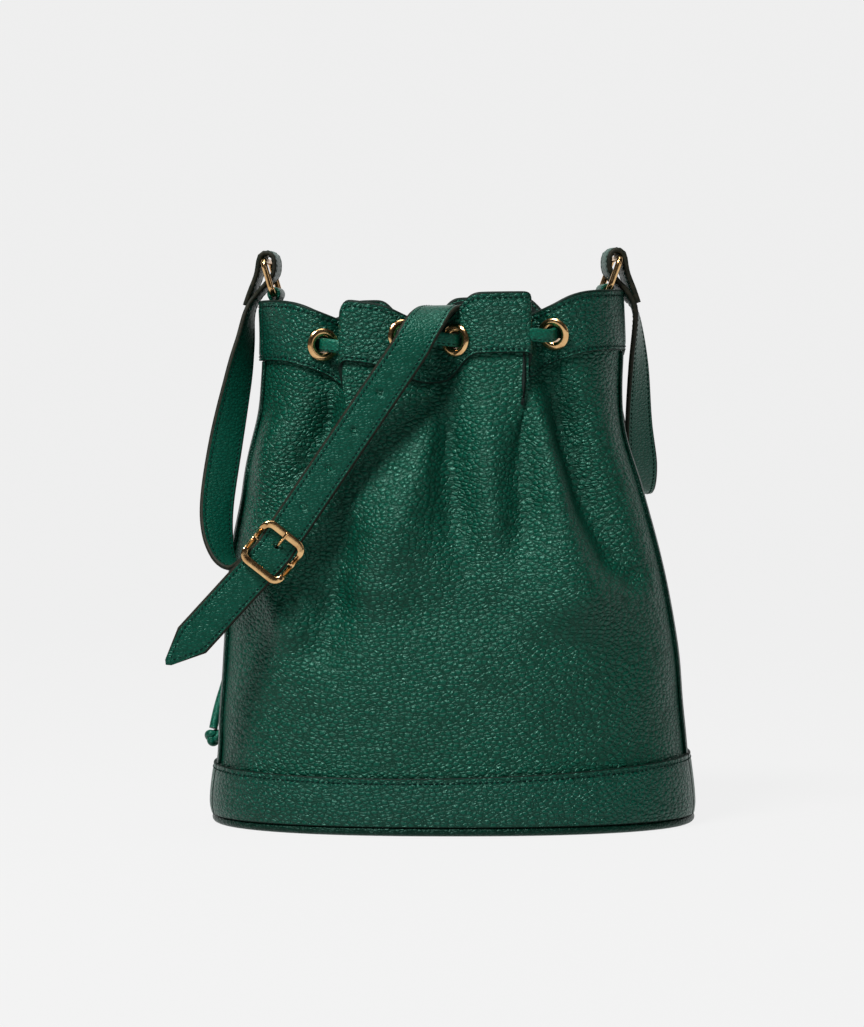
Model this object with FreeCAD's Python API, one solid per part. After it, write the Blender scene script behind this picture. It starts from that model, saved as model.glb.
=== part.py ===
"""Drawstring bucket bag in pebbled leather, modelled in millimetres.

The origin is the centre of the underside of the base.  +Z is up, the front of
the bag faces -Y and +X is the wearer's right as seen from the front.
"""
import FreeCAD, Part
import math
import os

V = FreeCAD.Vector

# ---------------------------------------------------------------- body form
# Reach of the outer leather face from the middle, at each height.
HEIGHTS = [0, 12, 40, 100, 150, 190, 230, 270, 305]
REACH_LEFT = [134, 136.5, 133.5, 130, 126, 119, 110.5, 108, 109]
REACH_RIGHT = [134, 135.5, 132.5, 126.5, 117.5, 106, 95, 95.5, 94]
DEPTH_FRONT = [80, 81.5, 79, 77, 73, 68, 62, 58, 57]
DEPTH_BACK = [80, 81.5, 79, 76, 71, 65, 59, 56, 55]
PLAN_POWER = 2.35            # roundness of the oval plan, 2 is an ellipse

# Each gather: x at the mouth, x low down, height it dies out at, depth,
# half width at the mouth, half width low down.
FRONT_GATHERS = [
    (-63, -84, 140, 14, 9, 17),
    (-12, -4, 130, 13, 14, 20),
    (41, 98, 120, 14, 9, 18),
]
BACK_GATHERS = [
    (-74, -84, 170, 9, 9, 14),
    (-20, -14, 140, 12, 12, 18),
    (70, 80, 140, 12, 12, 18),
]

RIM_HEIGHT = 298.0           # top edge of the lobes at the middle
RIM_TILT = 0.03              # rise of the rim towards +X

# Dip of the rim at each gather: x, drop, then half width and squareness to the
# left and to the right.
FRONT_DIPS = [(-58, 15, 22, 2, 7, 4), (-13, 16, 25, 2, 18, 4), (40, 14, 8, 4, 19.5, 2)]
BACK_DIPS = [(-74, 10, 14, 4, 14, 4), (-20, 13, 16, 4, 16, 4), (70, 16, 21, 4, 21, 4)]
TOP_BAND = 34.0              # depth of the band round the mouth
BASE_BAND = 32.0             # height of the lower band's seam at the middle
SEAM_ANGLE = math.radians(9) # the side seams lie a little in front of the ends

# ---------------------------------------------------------------- leather
PANEL = 1.6
BAND = 1.8
LINING = 0.8
LAYER_GAP = 0.35             # room left between layers that are sewn together
SHEET_BOTTOM = 6.0
BASE_THICK = 2.2
BOARD_THICK = 2.6
WELT_RADIUS = 2.5

# ---------------------------------------------------------------- eyelets
EYELET_RADIUS = 9.0
EYELET_BORE = 4.7
EYELET_TUBE = 5.2
EYELET_HOLE = 5.7
# Holes for the string: x at the rim, distance below the rim.
FRONT_HOLES = [(-76, 18.5), (-57, 13.5), (-29, 12.5), (2, 16.5), (36, 12), (58, 18)]
PLAIN_HOLES = [1, 4]         # punched holes hidden in the folds, without a metal eyelet
BACK_HOLES = [(79, 14.5), (55, 14.5), (-4, 15), (-38, 15), (-60, 15), (-88, 15)]
STRING_RADIUS = 2.2
STRING_STAND = 4.4           # how far the string stands off a flange
PLAIN_STAND = 2.6            # the same at a hole without an eyelet

# ---------------------------------------------------------------- strap
STRAP_WIDTH = 21.0
STRAP_THICK = 3.0
STATION_SPACING = 9.0        # longest step between the strap's cross sections
HOLE_PITCH = 25.2
HOLE_RADIUS = 1.9
HOLE_COUNT = 5
LAST_HOLE_RADIUS = 2.3
STRAP_FRONT_Y = -71.5        # middle of the strap's thickness at the buckle

# ---------------------------------------------------------------- buckle
BUCKLE_CENTRE = V(-99.4, STRAP_FRONT_Y, 155.6)
BUCKLE_ACROSS = V(0.785, 0, -0.62)
BUCKLE_ALONG = V(-0.62, 0, -0.785)
BUCKLE_HALF_WIDTH = 12.6
BUCKLE_HALF_LENGTH = 12.0
END_BAR_RADIUS = 1.5
CENTRE_BAR_RADIUS = 1.1
END_BAR_Y = STRAP_FRONT_Y - STRAP_THICK / 2 - END_BAR_RADIUS - 0.3
BAR_LOOP_THICK = 2.0
CENTRE_BAR_Y = STRAP_FRONT_Y + STRAP_THICK / 2 + 0.5 + BAR_LOOP_THICK + CENTRE_BAR_RADIUS + 0.3
PRONG_RADIUS = 0.9

# ---------------------------------------------------------------- rings
RING_WIRE = 1.75
RING_HALF_WIDTH = 13.2
RING_HALF_HEIGHT = 9.6
RINGS = {
    "left": {"side": -1, "foot": V(-100.6, 0, 298.6), "lean": 16, "yaw": -7},
    "right": {"side": 1, "foot": V(85.8, 0, 300.6), "lean": 20, "yaw": 8},
}
RING_CORNER = 4.0
TAB_WIDTH = 17.0
TAB_THICK = 1.9
TAB_BOTTOM = 264.0
STRAP_LOOP_RADIUS = 5.9      # to the middle of the strap's thickness


# ================================================================ helpers
def interpolate(height, values):
    """Smooth curve through values at HEIGHTS."""
    last = len(HEIGHTS) - 1
    i = 0
    while i < last - 1 and height > HEIGHTS[i + 1]:
        i += 1
    span = HEIGHTS[i + 1] - HEIGHTS[i]
    t = (height - HEIGHTS[i]) / span
    lo = max(i - 1, 0)
    hi = min(i + 2, last)
    slope_a = (values[i + 1] - values[lo]) / (HEIGHTS[i + 1] - HEIGHTS[lo]) * span
    slope_b = (values[hi] - values[i]) / (HEIGHTS[hi] - HEIGHTS[i]) * span
    t2 = t * t
    t3 = t2 * t
    return ((2 * t3 - 3 * t2 + 1) * values[i] + (t3 - 2 * t2 + t) * slope_a
            + (3 * t2 - 2 * t3) * values[i + 1] + (t3 - t2) * slope_b)


def unit(vector):
    """Copy of a vector with length one."""
    return vector * (1.0 / vector.Length)


def turned(vector, axis, degrees):
    """Vector turned about an axis through the origin."""
    return FreeCAD.Rotation(axis, degrees).multVec(vector)


def plan_point(angle, height):
    """Point of the plain oval at a polar angle, with its plan normal."""
    c = math.cos(angle)
    s = math.sin(angle)
    a = interpolate(height, REACH_RIGHT if c >= 0 else REACH_LEFT)
    b = interpolate(height, DEPTH_FRONT if s < 0 else DEPTH_BACK)
    size = (abs(c / a) ** PLAN_POWER + abs(s / b) ** PLAN_POWER) ** (-1 / PLAN_POWER)
    x = size * c
    y = size * s
    nx = math.copysign(abs(x / a) ** (PLAN_POWER - 1) / a, x)
    ny = math.copysign(abs(y / b) ** (PLAN_POWER - 1) / b, y)
    length = math.hypot(nx, ny)
    return x, y, nx / length, ny / length


def gather_depth(x, y, height):
    """How far the gathers push the wall inwards."""
    total = 0.0
    for top, low, end, depth, wide_top, wide_low in (FRONT_GATHERS if y < 0 else BACK_GATHERS):
        t = min(max((RIM_HEIGHT - height) / (RIM_HEIGHT - end), 0.0), 1.0)
        centre = top + (low - top) * t
        width = wide_top + (wide_low - wide_top) * t
        fade = 1 - t * t * (3 - 2 * t)
        total += depth * fade * math.exp(-((x - centre) / width) ** 2)
    return total


def wall(angle, height):
    """Outer face of the leather body."""
    x, y, nx, ny = plan_point(angle, height)
    depth = gather_depth(x, y, height)
    return V(x - depth * nx, y - depth * ny, height)


def wall_normal(angle, height):
    """Outward normal of the leather body."""
    step = 0.01
    across = wall(angle + step, height) - wall(angle - step, height)
    up = wall(angle, height + 1) - wall(angle, height - 1)
    return unit(across.cross(up))


def offset_wall(angle, height, offset):
    """Point a given distance outside the leather body."""
    return wall(angle, height) + wall_normal(angle, height) * offset


def angle_at(x, front, height):
    """Polar angle at which the plain oval reaches x, on one face."""
    low = math.pi if front else 0.0
    high = low + math.pi
    for _ in range(40):
        middle = (low + high) / 2
        is_right = plan_point(middle, height)[0] > x
        if is_right == front:
            high = middle
        else:
            low = middle
    return (low + high) / 2


def rim(angle):
    """Height of the mouth's edge."""
    x, y, _, _ = plan_point(angle, RIM_HEIGHT)
    total = 0.0
    for centre, drop, left, left_power, right, right_power in (FRONT_DIPS if y < 0 else BACK_DIPS):
        width, power = (left, left_power) if x < centre else (right, right_power)
        total += drop * math.exp(-(abs(x - centre) / width) ** power)
    return RIM_HEIGHT + RIM_TILT * x - total


def base_seam(angle):
    """Height of the lower band's upper seam."""
    x = plan_point(angle, BASE_BAND)[0] / REACH_LEFT[0]
    return BASE_BAND + 2.9 * x + 4.5 * x * x


def top_seam(angle):
    """Height of the upper band's lower seam."""
    return rim(angle) - TOP_BAND


def grid_face(points):
    """Smooth face through a grid of points."""
    surface = Part.BSplineSurface()
    surface.interpolate(points)
    return surface.toShape()


def sheet(start, end, low, high, inner, outer, columns, rows):
    """Closed solid between two offsets of the wall and two edges."""
    grids = []
    for offset in (inner, outer):
        grid = []
        for i in range(columns + 1):
            angle = start + (end - start) * i / columns
            bottom = low(angle)
            top = high(angle)
            grid.append([offset_wall(angle, bottom + (top - bottom) * j / rows, offset)
                         for j in range(rows + 1)])
        grids.append(grid)
    faces = [grid_face(grid) for grid in grids]
    sides = []
    corners = [(0, 0, 0, rows), (columns, 0, columns, rows), (0, 0, columns, 0), (0, rows, columns, rows)]
    for i0, j0, i1, j1 in corners:
        edges = []
        for face, grid in zip(faces, grids):
            middle = (grid[i0][j0] + grid[i1][j1]) * 0.5
            ends = (grid[i0][j0], grid[i1][j1])
            edges.append(matching_edge(face, ends))
        sides.append(Part.makeLoft([Part.Wire([edge]) for edge in edges], False, True))
    shell = Part.makeShell(faces + [face for side in sides for face in side.Faces])
    shell.sewShape()
    return closed_solid(shell)


def matching_edge(face, ends):
    """The face's boundary edge that joins two given corners."""
    def miss(edge):
        a, b = edge.firstVertex().Point, edge.lastVertex().Point
        return min(a.distanceToPoint(ends[0]) + b.distanceToPoint(ends[1]),
                   a.distanceToPoint(ends[1]) + b.distanceToPoint(ends[0]))
    return min(face.Edges, key=miss)


def closed_solid(shell):
    """Solid from a sewn shell, facing outwards."""
    solid = Part.Solid(Part.Shell(shell.Faces) if shell.ShapeType != "Shell" else shell)
    if solid.Volume < 0:
        solid.reverse()
    return solid


def plan_wire(height, inset, count=72):
    """Closed smooth curve of the oval, moved inwards."""
    points = []
    for i in range(count):
        x, y, nx, ny = plan_point(2 * math.pi * i / count, height)
        points.append(V(x - inset * nx, y - inset * ny, 0))
    curve = Part.BSplineCurve()
    curve.interpolate(points, PeriodicFlag=True)
    return Part.Wire([curve.toShape()])


def oval_plate(low, thickness, inset):
    """Flat oval plate."""
    face = Part.Face(plan_wire(low, inset))
    face.translate(V(0, 0, low))
    return face.extrude(V(0, 0, thickness))


def bar(start, end, radius):
    """Round bar between two points."""
    return Part.makeCylinder(radius, (end - start).Length, start, end - start)


def cord_tube(points, radius, name):
    """Tube of straight runs joined by tangent arcs."""
    edges = []
    at = points[0]
    tightest = None
    for before, corner, after in zip(points, points[1:], points[2:]):
        come = corner - before
        leave = after - corner
        half_turn = come.getAngle(leave) / 2
        reach = 0.45 * min(come.Length, leave.Length)
        bend = reach / math.tan(half_turn)
        tightest = bend if tightest is None else min(tightest, bend)
        start = corner - unit(come) * reach
        end = corner + unit(leave) * reach
        to_centre = unit(unit(leave) - unit(come))
        middle = corner + to_centre * (bend / math.cos(half_turn) - bend)
        edges.append(Part.LineSegment(at, start).toShape())
        edges.append(Part.Arc(start, middle, end).toShape())
        at = end
    edges.append(Part.LineSegment(at, points[-1]).toShape())
    path = Part.Wire(edges)
    section = Part.Wire([Part.Circle(points[0], points[1] - points[0], radius).toShape()])
    tube = path.makePipeShell([section], True, True)
    length = sum(edge.Length for edge in edges)
    expected = math.pi * radius ** 2 * length
    print("%s: length %.0f mm, tightest bend %.1f mm, volume %.3f of section times length"
          % (name, length, tightest, tube.Volume / expected))
    return tube


def spline_between(before, start, end, after, t):
    """Point of a smooth curve from start to end."""
    slope_a = (end - before) * 0.5
    slope_b = (after - start) * 0.5
    t2 = t * t
    t3 = t2 * t
    return (start * (2 * t3 - 3 * t2 + 1) + slope_a * (t3 - 2 * t2 + t)
            + end * (3 * t2 - 2 * t3) + slope_b * (t3 - t2))


def evened(stations):
    """The same strap with stations added wherever they stand far apart."""
    last = len(stations) - 1
    result = []
    for i in range(last):
        around = [stations[k] for k in (max(i - 1, 0), i, i + 1, min(i + 2, last))]
        length = (stations[i + 1][0] - stations[i][0]).Length
        steps = max(1, round(length / STATION_SPACING))
        for step in range(steps):
            t = step / steps
            result.append(tuple(spline_between(*[station[k] for station in around], t) for k in (0, 1)))
    result.append(stations[last])
    return result


def ribbon(stations, width, thickness):
    """Strap through stations of (centre, width direction)."""
    stations = evened(stations)
    wires = []
    last = len(stations) - 1
    for i, (centre, across) in enumerate(stations):
        heading = unit(stations[min(i + 1, last)][0] - stations[max(i - 1, 0)][0])
        across = unit(across - heading * across.dot(heading))
        normal = across.cross(heading)
        half_width = across * (width / 2)
        half_thick = normal * (thickness / 2)
        corners = [centre + half_width + half_thick, centre - half_width + half_thick,
                   centre - half_width - half_thick, centre + half_width - half_thick]
        wires.append(Part.makePolygon(corners + [corners[0]]))
    return Part.makeLoft(wires, True, False)


# ================================================================ leather body
FRONT_SPAN = (math.pi + SEAM_ANGLE, 2 * math.pi - SEAM_ANGLE)
BACK_SPAN = (-SEAM_ANGLE, math.pi + SEAM_ANGLE)
SEAM_ROOM = 0.006            # half the gap between the panels at a seam, radians
PANEL_CUTS = {"front": [-63, -12, 41], "back": [-74, -20, 70]}
PANEL_SPLIT = 150.0          # level at which each panel is divided
CUT_GAP = 0.2
COLUMNS = 60                 # steps round one face of the bag
ROWS = 16                    # steps from the foot to the rim
BAND_ROWS = 4


def face_span(front):
    """Start and end angles of the front or back leather."""
    start, end = FRONT_SPAN if front else BACK_SPAN
    return start + SEAM_ROOM, end - SEAM_ROOM


def sheet_base(angle):
    """Level at which the upright leather starts."""
    return SHEET_BOTTOM


def lining_outside():
    """Offset of the lining's outer face."""
    return -PANEL - LAYER_GAP


def make_panel(front):
    """Main leather panel of one face."""
    start, end = face_span(front)
    return sheet(start, end, sheet_base, lambda a: rim(a) - 0.6, -PANEL, 0, COLUMNS, ROWS)


def divided(panel, face):
    """The panel in simple upright parts, by name, upper ones meeting in the gathers."""
    reach = 200.0
    parts = {}
    for level, cuts, low, high in (("upper", PANEL_CUTS[face], PANEL_SPLIT, 2 * reach),
                                   ("lower", [0], -reach, PANEL_SPLIT)):
        edges = [-reach] + cuts + [reach]
        for number, (left, right) in enumerate(zip(edges, edges[1:]), 1):
            size = V(right - left - CUT_GAP, 2 * reach, high - low - CUT_GAP)
            block = Part.makeBox(size.x, size.y, size.z, V(left + CUT_GAP / 2, -reach, low + CUT_GAP / 2))
            parts["%s_panel_%s_%d" % (face, level, number)] = panel.common(block)
    return parts


def make_lining(front):
    """Lining behind one panel."""
    start, end = face_span(front)
    outside = lining_outside()
    return sheet(start, end, sheet_base, lambda a: rim(a) - 1.2, outside - LINING, outside, COLUMNS, ROWS)


def make_top_band(front):
    """Band round the mouth, sewn over the panel."""
    start, end = face_span(front)
    return sheet(start, end, top_seam, rim, LAYER_GAP, LAYER_GAP + BAND, COLUMNS, BAND_ROWS)


def make_base_band(front):
    """Band round the foot, sewn over the panel."""
    start, end = face_span(front)
    return sheet(start, end, sheet_base, base_seam, LAYER_GAP, LAYER_GAP + BAND, COLUMNS, BAND_ROWS)


def make_side_welt(angle):
    """Raised strip that covers a side seam between the two bands."""
    half = 0.014
    return sheet(angle - half, angle + half, lambda a: base_seam(a) + 1.0,
                 lambda a: top_seam(a) - 1.0, LAYER_GAP, LAYER_GAP + 1.3, 3, 10)


def make_base_welt():
    """Rolled welt round the edge of the base."""
    path = plan_wire(0, -0.6)
    path.translate(V(0, 0, WELT_RADIUS + 0.1))
    start = path.Edges[0].valueAt(path.Edges[0].FirstParameter)
    tangent = path.Edges[0].tangentAt(path.Edges[0].FirstParameter)
    section = Part.Wire([Part.Circle(start, tangent, WELT_RADIUS).toShape()])
    return path.makePipeShell([section], True, True)


# ================================================================ eyelets
def eyelet_place(hole, front, plain=False):
    """Centre, outward normal and clearances of one eyelet or plain hole."""
    x, below = hole
    reach = (EYELET_HOLE if plain else EYELET_RADIUS) + 0.3
    angle = angle_at(x, front, RIM_HEIGHT)
    height = rim(angle) - below
    angle = angle_at(x, front, height)
    centre = wall(angle, height)
    normal = wall_normal(angle, height)
    front = LAYER_GAP + BAND
    back = lining_outside() - LINING
    heights = {}
    for offset in (front, back):
        heights[offset] = [offset]
        for i in range(-16, 17):
            for j in range(-7, 8):
                away = offset_wall(angle + 0.014 * i, height + 1.4 * j, offset) - centre
                rise = away.dot(normal)
                if (away - normal * rise).Length < reach:
                    heights[offset].append(rise)
    return {"centre": centre, "normal": normal, "stand": PLAIN_STAND if plain else STRING_STAND,
            "front": max(heights[front]) + 0.15, "back": min(heights[back]) - 0.35}


def placed(shape, place):
    """Shape built along +Z about the origin, set on an eyelet's axis."""
    turn = FreeCAD.Rotation(V(0, 0, 1), place["normal"])
    moved = shape.copy()
    moved.Placement = FreeCAD.Placement(place["centre"], turn)
    return moved


def make_eyelet(place):
    """Rolled flange and tube of one eyelet."""
    face = place["front"]
    end = place["back"] - 1.0
    crown = 1.4
    profile = [
        Part.LineSegment(V(EYELET_RADIUS, 0, face), V(EYELET_RADIUS, 0, face + 0.4)),
        Part.Arc(V(EYELET_RADIUS, 0, face + 0.4), V(7.3, 0, face + crown), V(5.4, 0, face + 1.0)),
        Part.Arc(V(5.4, 0, face + 1.0), V(4.9, 0, face + 0.6), V(EYELET_BORE, 0, face - 0.2)),
        Part.LineSegment(V(EYELET_BORE, 0, face - 0.2), V(EYELET_BORE, 0, end)),
        Part.LineSegment(V(EYELET_BORE, 0, end), V(EYELET_TUBE, 0, end)),
        Part.LineSegment(V(EYELET_TUBE, 0, end), V(EYELET_TUBE, 0, face)),
        Part.LineSegment(V(EYELET_TUBE, 0, face), V(EYELET_RADIUS, 0, face)),
    ]
    section = Part.Face(Part.Wire([edge.toShape() for edge in profile]))
    return placed(section.revolve(V(0, 0, 0), V(0, 0, 1), 360), place)


def make_washer(place):
    """Flat washer behind one eyelet."""
    thickness = 0.7
    bottom = place["back"] - thickness
    disc = Part.makeCylinder(EYELET_RADIUS - 0.5, thickness, V(0, 0, bottom))
    hole = Part.makeCylinder(EYELET_TUBE + 0.05, thickness * 3, V(0, 0, bottom - thickness))
    return placed(disc.cut(hole), place)


def pierced(shape, places):
    """Leather with a hole at every eyelet."""
    for place in places:
        punch = Part.makeCylinder(EYELET_HOLE, 24, V(0, 0, -12))
        shape = shape.cut(placed(punch, place))
    return shape


# ================================================================ drawstring
def string_outside(place):
    """Where the string stands in front of an eyelet."""
    return place["centre"] + place["normal"] * (place["front"] + place["stand"])


def string_inside(place):
    """Where the string stands behind an eyelet."""
    return place["centre"] + place["normal"] * (place["back"] - place["stand"])


def woven_route(places, start_outside):
    """String through eyelets in order, in and out by turns."""
    points = []
    outside = start_outside
    for place in places:
        pair = [string_outside(place), string_inside(place)]
        points += pair if outside else pair[::-1]
        outside = not outside
    return points


def side_point(side, y):
    """String just inside the wall at the end of the mouth."""
    reach = REACH_RIGHT if side > 0 else REACH_LEFT
    inset = 16 + 0.1 * abs(y)
    return V(side * (interpolate(275, reach) - inset), y, 274 + 2 * side)


def make_drawstring_front(places):
    """Run of the string through the front eyelets."""
    middle = woven_route(places, False)
    points = [side_point(-1, -0.4), side_point(-1, -15)] + middle
    points += [side_point(1, -15), side_point(1, -0.4)]
    return cord_tube(points, STRING_RADIUS, "drawstring_front")


def make_drawstring_back(places):
    """Runs of the string through the back eyelets, up to its two exits."""
    long_run = [side_point(1, 0.4), side_point(1, 15)] + woven_route(places[:5], False)
    short_run = [side_point(-1, 0.4), side_point(-1, 12)] + woven_route(places[5:], False)
    return Part.makeCompound([cord_tube(long_run, STRING_RADIUS, "drawstring_back long"),
                              cord_tube(short_run, STRING_RADIUS, "drawstring_back short")])


CORD_RADIUS = 2.5
KNOT_RADIUS = 5.4
EXIT_RUN = 10.0              # straight run out of an eyelet before the end turns down
END_A_ROUTE = [V(-94, 57.5, 269.5), V(-97, 60.5, 258), V(-101, 61, 235), V(-106, 58, 203), V(-112, 54, 170),
               V(-118.5, 48, 135), V(-125, 42, 103), V(-131.5, 36, 76), V(-136.5, 31, 60), V(-138.5, 28, 49)]
END_B_ROUTE = [V(-71, 69, 271), V(-73, 72.5, 259), V(-76, 74, 238), V(-80.5, 74, 205), V(-86, 72, 165),
               V(-92, 71, 128), V(-96, 70, 98), V(-98, 69, 80)]


def make_cord_end(place, route, name):
    """One free end of the string, from its eyelet down to its knot."""
    exit_point = string_outside(place)
    away = exit_point + place["normal"] * EXIT_RUN
    return cord_tube([exit_point, away] + route, CORD_RADIUS, name)


def make_knot(route):
    """Overhand knot at a free end."""
    top = route[-1]
    centre = V(top.x, top.y, top.z - KNOT_RADIUS + 0.3)
    knot = Part.makeSphere(KNOT_RADIUS, centre)
    return knot.cut(bar(route[-1], route[-1] + (route[-2] - route[-1]), CORD_RADIUS + 0.05))


# ================================================================ rings, tabs
def ring_frame(ring):
    """Foot, top and direction of the foot bar of one ring."""
    lean = math.radians(ring["lean"])
    rise = V(ring["side"] * math.sin(lean), 0, math.cos(lean))
    across = turned(V(0, 1, 0), V(0, 0, 1), ring["yaw"])
    rise = turned(rise, V(0, 0, 1), ring["yaw"])
    height = 2 * RING_HALF_HEIGHT
    return ring["foot"], ring["foot"] + rise * height, rise, across


def make_ring(ring):
    """Rounded rectangular ring of round wire."""
    foot, top, rise, across = ring_frame(ring)
    corner = RING_CORNER
    straight = RING_HALF_WIDTH - corner
    upright = RING_HALF_HEIGHT - corner
    middle = (foot + top) * 0.5
    diagonal = corner * math.sqrt(0.5)

    def at(a, b):
        return middle + across * a + rise * b

    edges = []
    for sa, sb in ((1, 1), (1, -1), (-1, -1), (-1, 1)):
        side_end = at(sa * RING_HALF_WIDTH, sb * upright)
        bar_end = at(sa * straight, sb * RING_HALF_HEIGHT)
        bend = at(sa * (straight + diagonal), sb * (upright + diagonal))
        edges.append(Part.Arc(side_end, bend, bar_end).toShape())
        if sa == sb:
            edges.append(Part.LineSegment(side_end, at(sa * RING_HALF_WIDTH, -sb * upright)).toShape())
        else:
            edges.append(Part.LineSegment(bar_end, at(-sa * straight, sb * RING_HALF_HEIGHT)).toShape())
    path = Part.Wire(Part.__sortEdges__(edges))
    first = path.OrderedEdges[0]
    start = first.valueAt(first.FirstParameter)
    section = Part.Wire([Part.Circle(start, first.tangentAt(first.FirstParameter), RING_WIRE).toShape()])
    return path.makePipeShell([section], True, True)


def make_tab(ring):
    """Leather tab folded round the foot of a ring and sewn inside the mouth."""
    foot = ring["foot"]
    inner = RING_WIRE + 0.25
    outer = inner + TAB_THICK
    start = V(0, -TAB_WIDTH / 2, 0)
    along = V(0, 1, 0)
    loop = Part.makeCylinder(outer, TAB_WIDTH, start, along)
    legs = Part.makeBox(2 * TAB_THICK, TAB_WIDTH, foot.z - TAB_BOTTOM,
                        V(-TAB_THICK, -TAB_WIDTH / 2, TAB_BOTTOM - foot.z))
    bore = Part.makeCylinder(inner, TAB_WIDTH * 2, start * 2, along)
    tab = loop.fuse(legs).cut(bore)
    tab.rotate(V(0, 0, 0), V(0, 0, 1), ring["yaw"])
    tab.translate(foot)
    return tab


# ================================================================ strap
def loop_stations(ring):
    """Strap's fold round the top of a ring, from its cut end to the run."""
    _, top, _, across = ring_frame(ring)
    side = ring["side"]
    outward = turned(V(side, 0, 0), V(0, 0, 1), ring["yaw"])
    centre = top - outward * 1.2
    points = [centre + outward * 14 - V(0, 0, 25), centre + outward * 11.5 - V(0, 0, 17.5),
              centre + outward * 7.2 - V(0, 0, 8)]
    for degrees in (0, 36, 72, 108, 144, 180):
        turn = math.radians(degrees)
        points.append(centre + outward * (STRAP_LOOP_RADIUS * math.cos(turn))
                      + V(0, 0, STRAP_LOOP_RADIUS * math.sin(turn)))
    points.append(centre - outward * 4.2 - V(0, 0, 7))
    points.append(centre + outward * 1.5 - V(0, 0, 13.5))
    points.append(centre + outward * 8.6 - V(0, 0, 21))
    return [(point, across) for point in points]


# Short strap from the left ring down to the buckle: centre, width direction.
SHORT_RUN = [
    (V(-115.6, -1, 287), V(0.2, 0.98, 0)),
    (V(-117.8, -6, 271), V(0.4, 0.9, 0)),
    (V(-121.5, -14, 250), V(0.65, 0.76, 0)),
    (V(-127.8, -25, 215), V(0.84, 0.54, 0)),
    (V(-132, -37, 183), V(0.84, 0.54, 0)),
    (V(-131.5, -45, 164), V(0.74, 0.66, 0)),
    (V(-127.5, -52, 151), V(0.5, 0.86, 0)),
    (V(-120.5, -57, 145.5), V(0.4, 0.9, -0.1)),
    (V(-112.5, -60.5, 147), V(0.62, 0.66, -0.4)),
]

# Long strap from the right ring, slung behind the bag and up over the mouth.
SLING_RUN = [
    (V(103.5, 4, 287), V(0.1, 0.99, 0)),
    (V(105.5, 12, 258), V(0.5, 0.86, 0)),
    (V(106.5, 24, 225), V(0.7, 0.71, 0)),
    (V(109, 39, 199), V(0.82, 0.57, 0)),
    (V(107, 57, 185), V(0.9, 0.42, 0)),
    (V(101, 75, 192), V(0.85, 0.5, 0.15)),
    (V(95, 81, 214), V(0.84, 0.45, 0.3)),
    (V(89, 78, 241), V(0.84, 0.3, 0.4)),
    (V(84, 69, 266), V(0.84, 0.1, 0.4)),
    (V(79, 58, 282.5), V(0.84, -0.2, 0.3)),
    (V(72, 45, 290), V(0.82, -0.5, 0.1)),
    (V(60, 30, 288.5), V(0.8, -0.6, 0)),
    (V(40, 6, 284.5), V(0.8, -0.6, 0)),
    (V(22, -14, 284.5), V(0.8, -0.6, 0)),
    (V(7, -31, 287), V(0.8, -0.6, 0.03)),
    (V(-2.5, -44, 289.5), V(0.8, -0.57, 0.06)),
    (V(-9.5, -56, 288.5), V(0.83, -0.4, -0.1)),
    (V(-15.5, -66, 282), V(0.84, -0.2, -0.35)),
    (V(-20.5, -71, 274), V(0.835, -0.07, -0.5)),
]
FRONT_TOP = V(-25, -72.5, 266)
TAIL_SHOULDER = 66.0
TAIL_TIP = 85.5
TAIL_ALONG = V(-0.676, 0.02, -0.737)


def long_strap_stations():
    """The whole long strap up to the shoulders of its tail."""
    front = BUCKLE_CENTRE - FRONT_TOP
    along = unit(V(front.x, 0, front.z))
    across = V(-along.z, 0, along.x)
    stations = loop_stations(RINGS["right"]) + SLING_RUN
    for part in (0.0, 0.25, 0.5, 0.75, 0.94):
        stations.append((FRONT_TOP + front * part, across))
    stations.append((BUCKLE_CENTRE, BUCKLE_ACROSS))
    tail_across = unit(V(-TAIL_ALONG.z, 0, TAIL_ALONG.x))
    for distance in (12, 30, 48, TAIL_SHOULDER):
        stations.append((BUCKLE_CENTRE + TAIL_ALONG * distance, tail_across))
    return stations


def make_tail_point():
    """Pointed end of the strap."""
    across = unit(V(-TAIL_ALONG.z, 0, TAIL_ALONG.x))
    shoulder = BUCKLE_CENTRE + TAIL_ALONG * TAIL_SHOULDER
    normal = across.cross(unit(TAIL_ALONG))
    half = across * (STRAP_WIDTH / 2)
    tip = BUCKLE_CENTRE + TAIL_ALONG * TAIL_TIP - across * 1.5
    back = normal * (-STRAP_THICK / 2)
    outline = [shoulder + half + back, tip + back, shoulder - half + back, shoulder + half + back]
    return Part.Face(Part.makePolygon(outline)).extrude(normal * STRAP_THICK)


def hole_centres():
    """Punched holes up the front of the strap, the prong's hole first."""
    front = unit(V(BUCKLE_CENTRE.x - FRONT_TOP.x, 0, BUCKLE_CENTRE.z - FRONT_TOP.z))
    first = BUCKLE_CENTRE - front * 4.6
    return [first - front * (HOLE_PITCH * i) for i in range(HOLE_COUNT)]


def make_long_strap():
    """Strap from the right ring through the buckle to its pointed tail."""
    strap = ribbon(long_strap_stations(), STRAP_WIDTH, STRAP_THICK).fuse(make_tail_point())
    for i, centre in enumerate(hole_centres()):
        radius = HOLE_RADIUS if i else LAST_HOLE_RADIUS
        strap = strap.cut(Part.makeCylinder(radius, 16, V(centre.x, centre.y - 8, centre.z), V(0, 1, 0)))
    return strap


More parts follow.
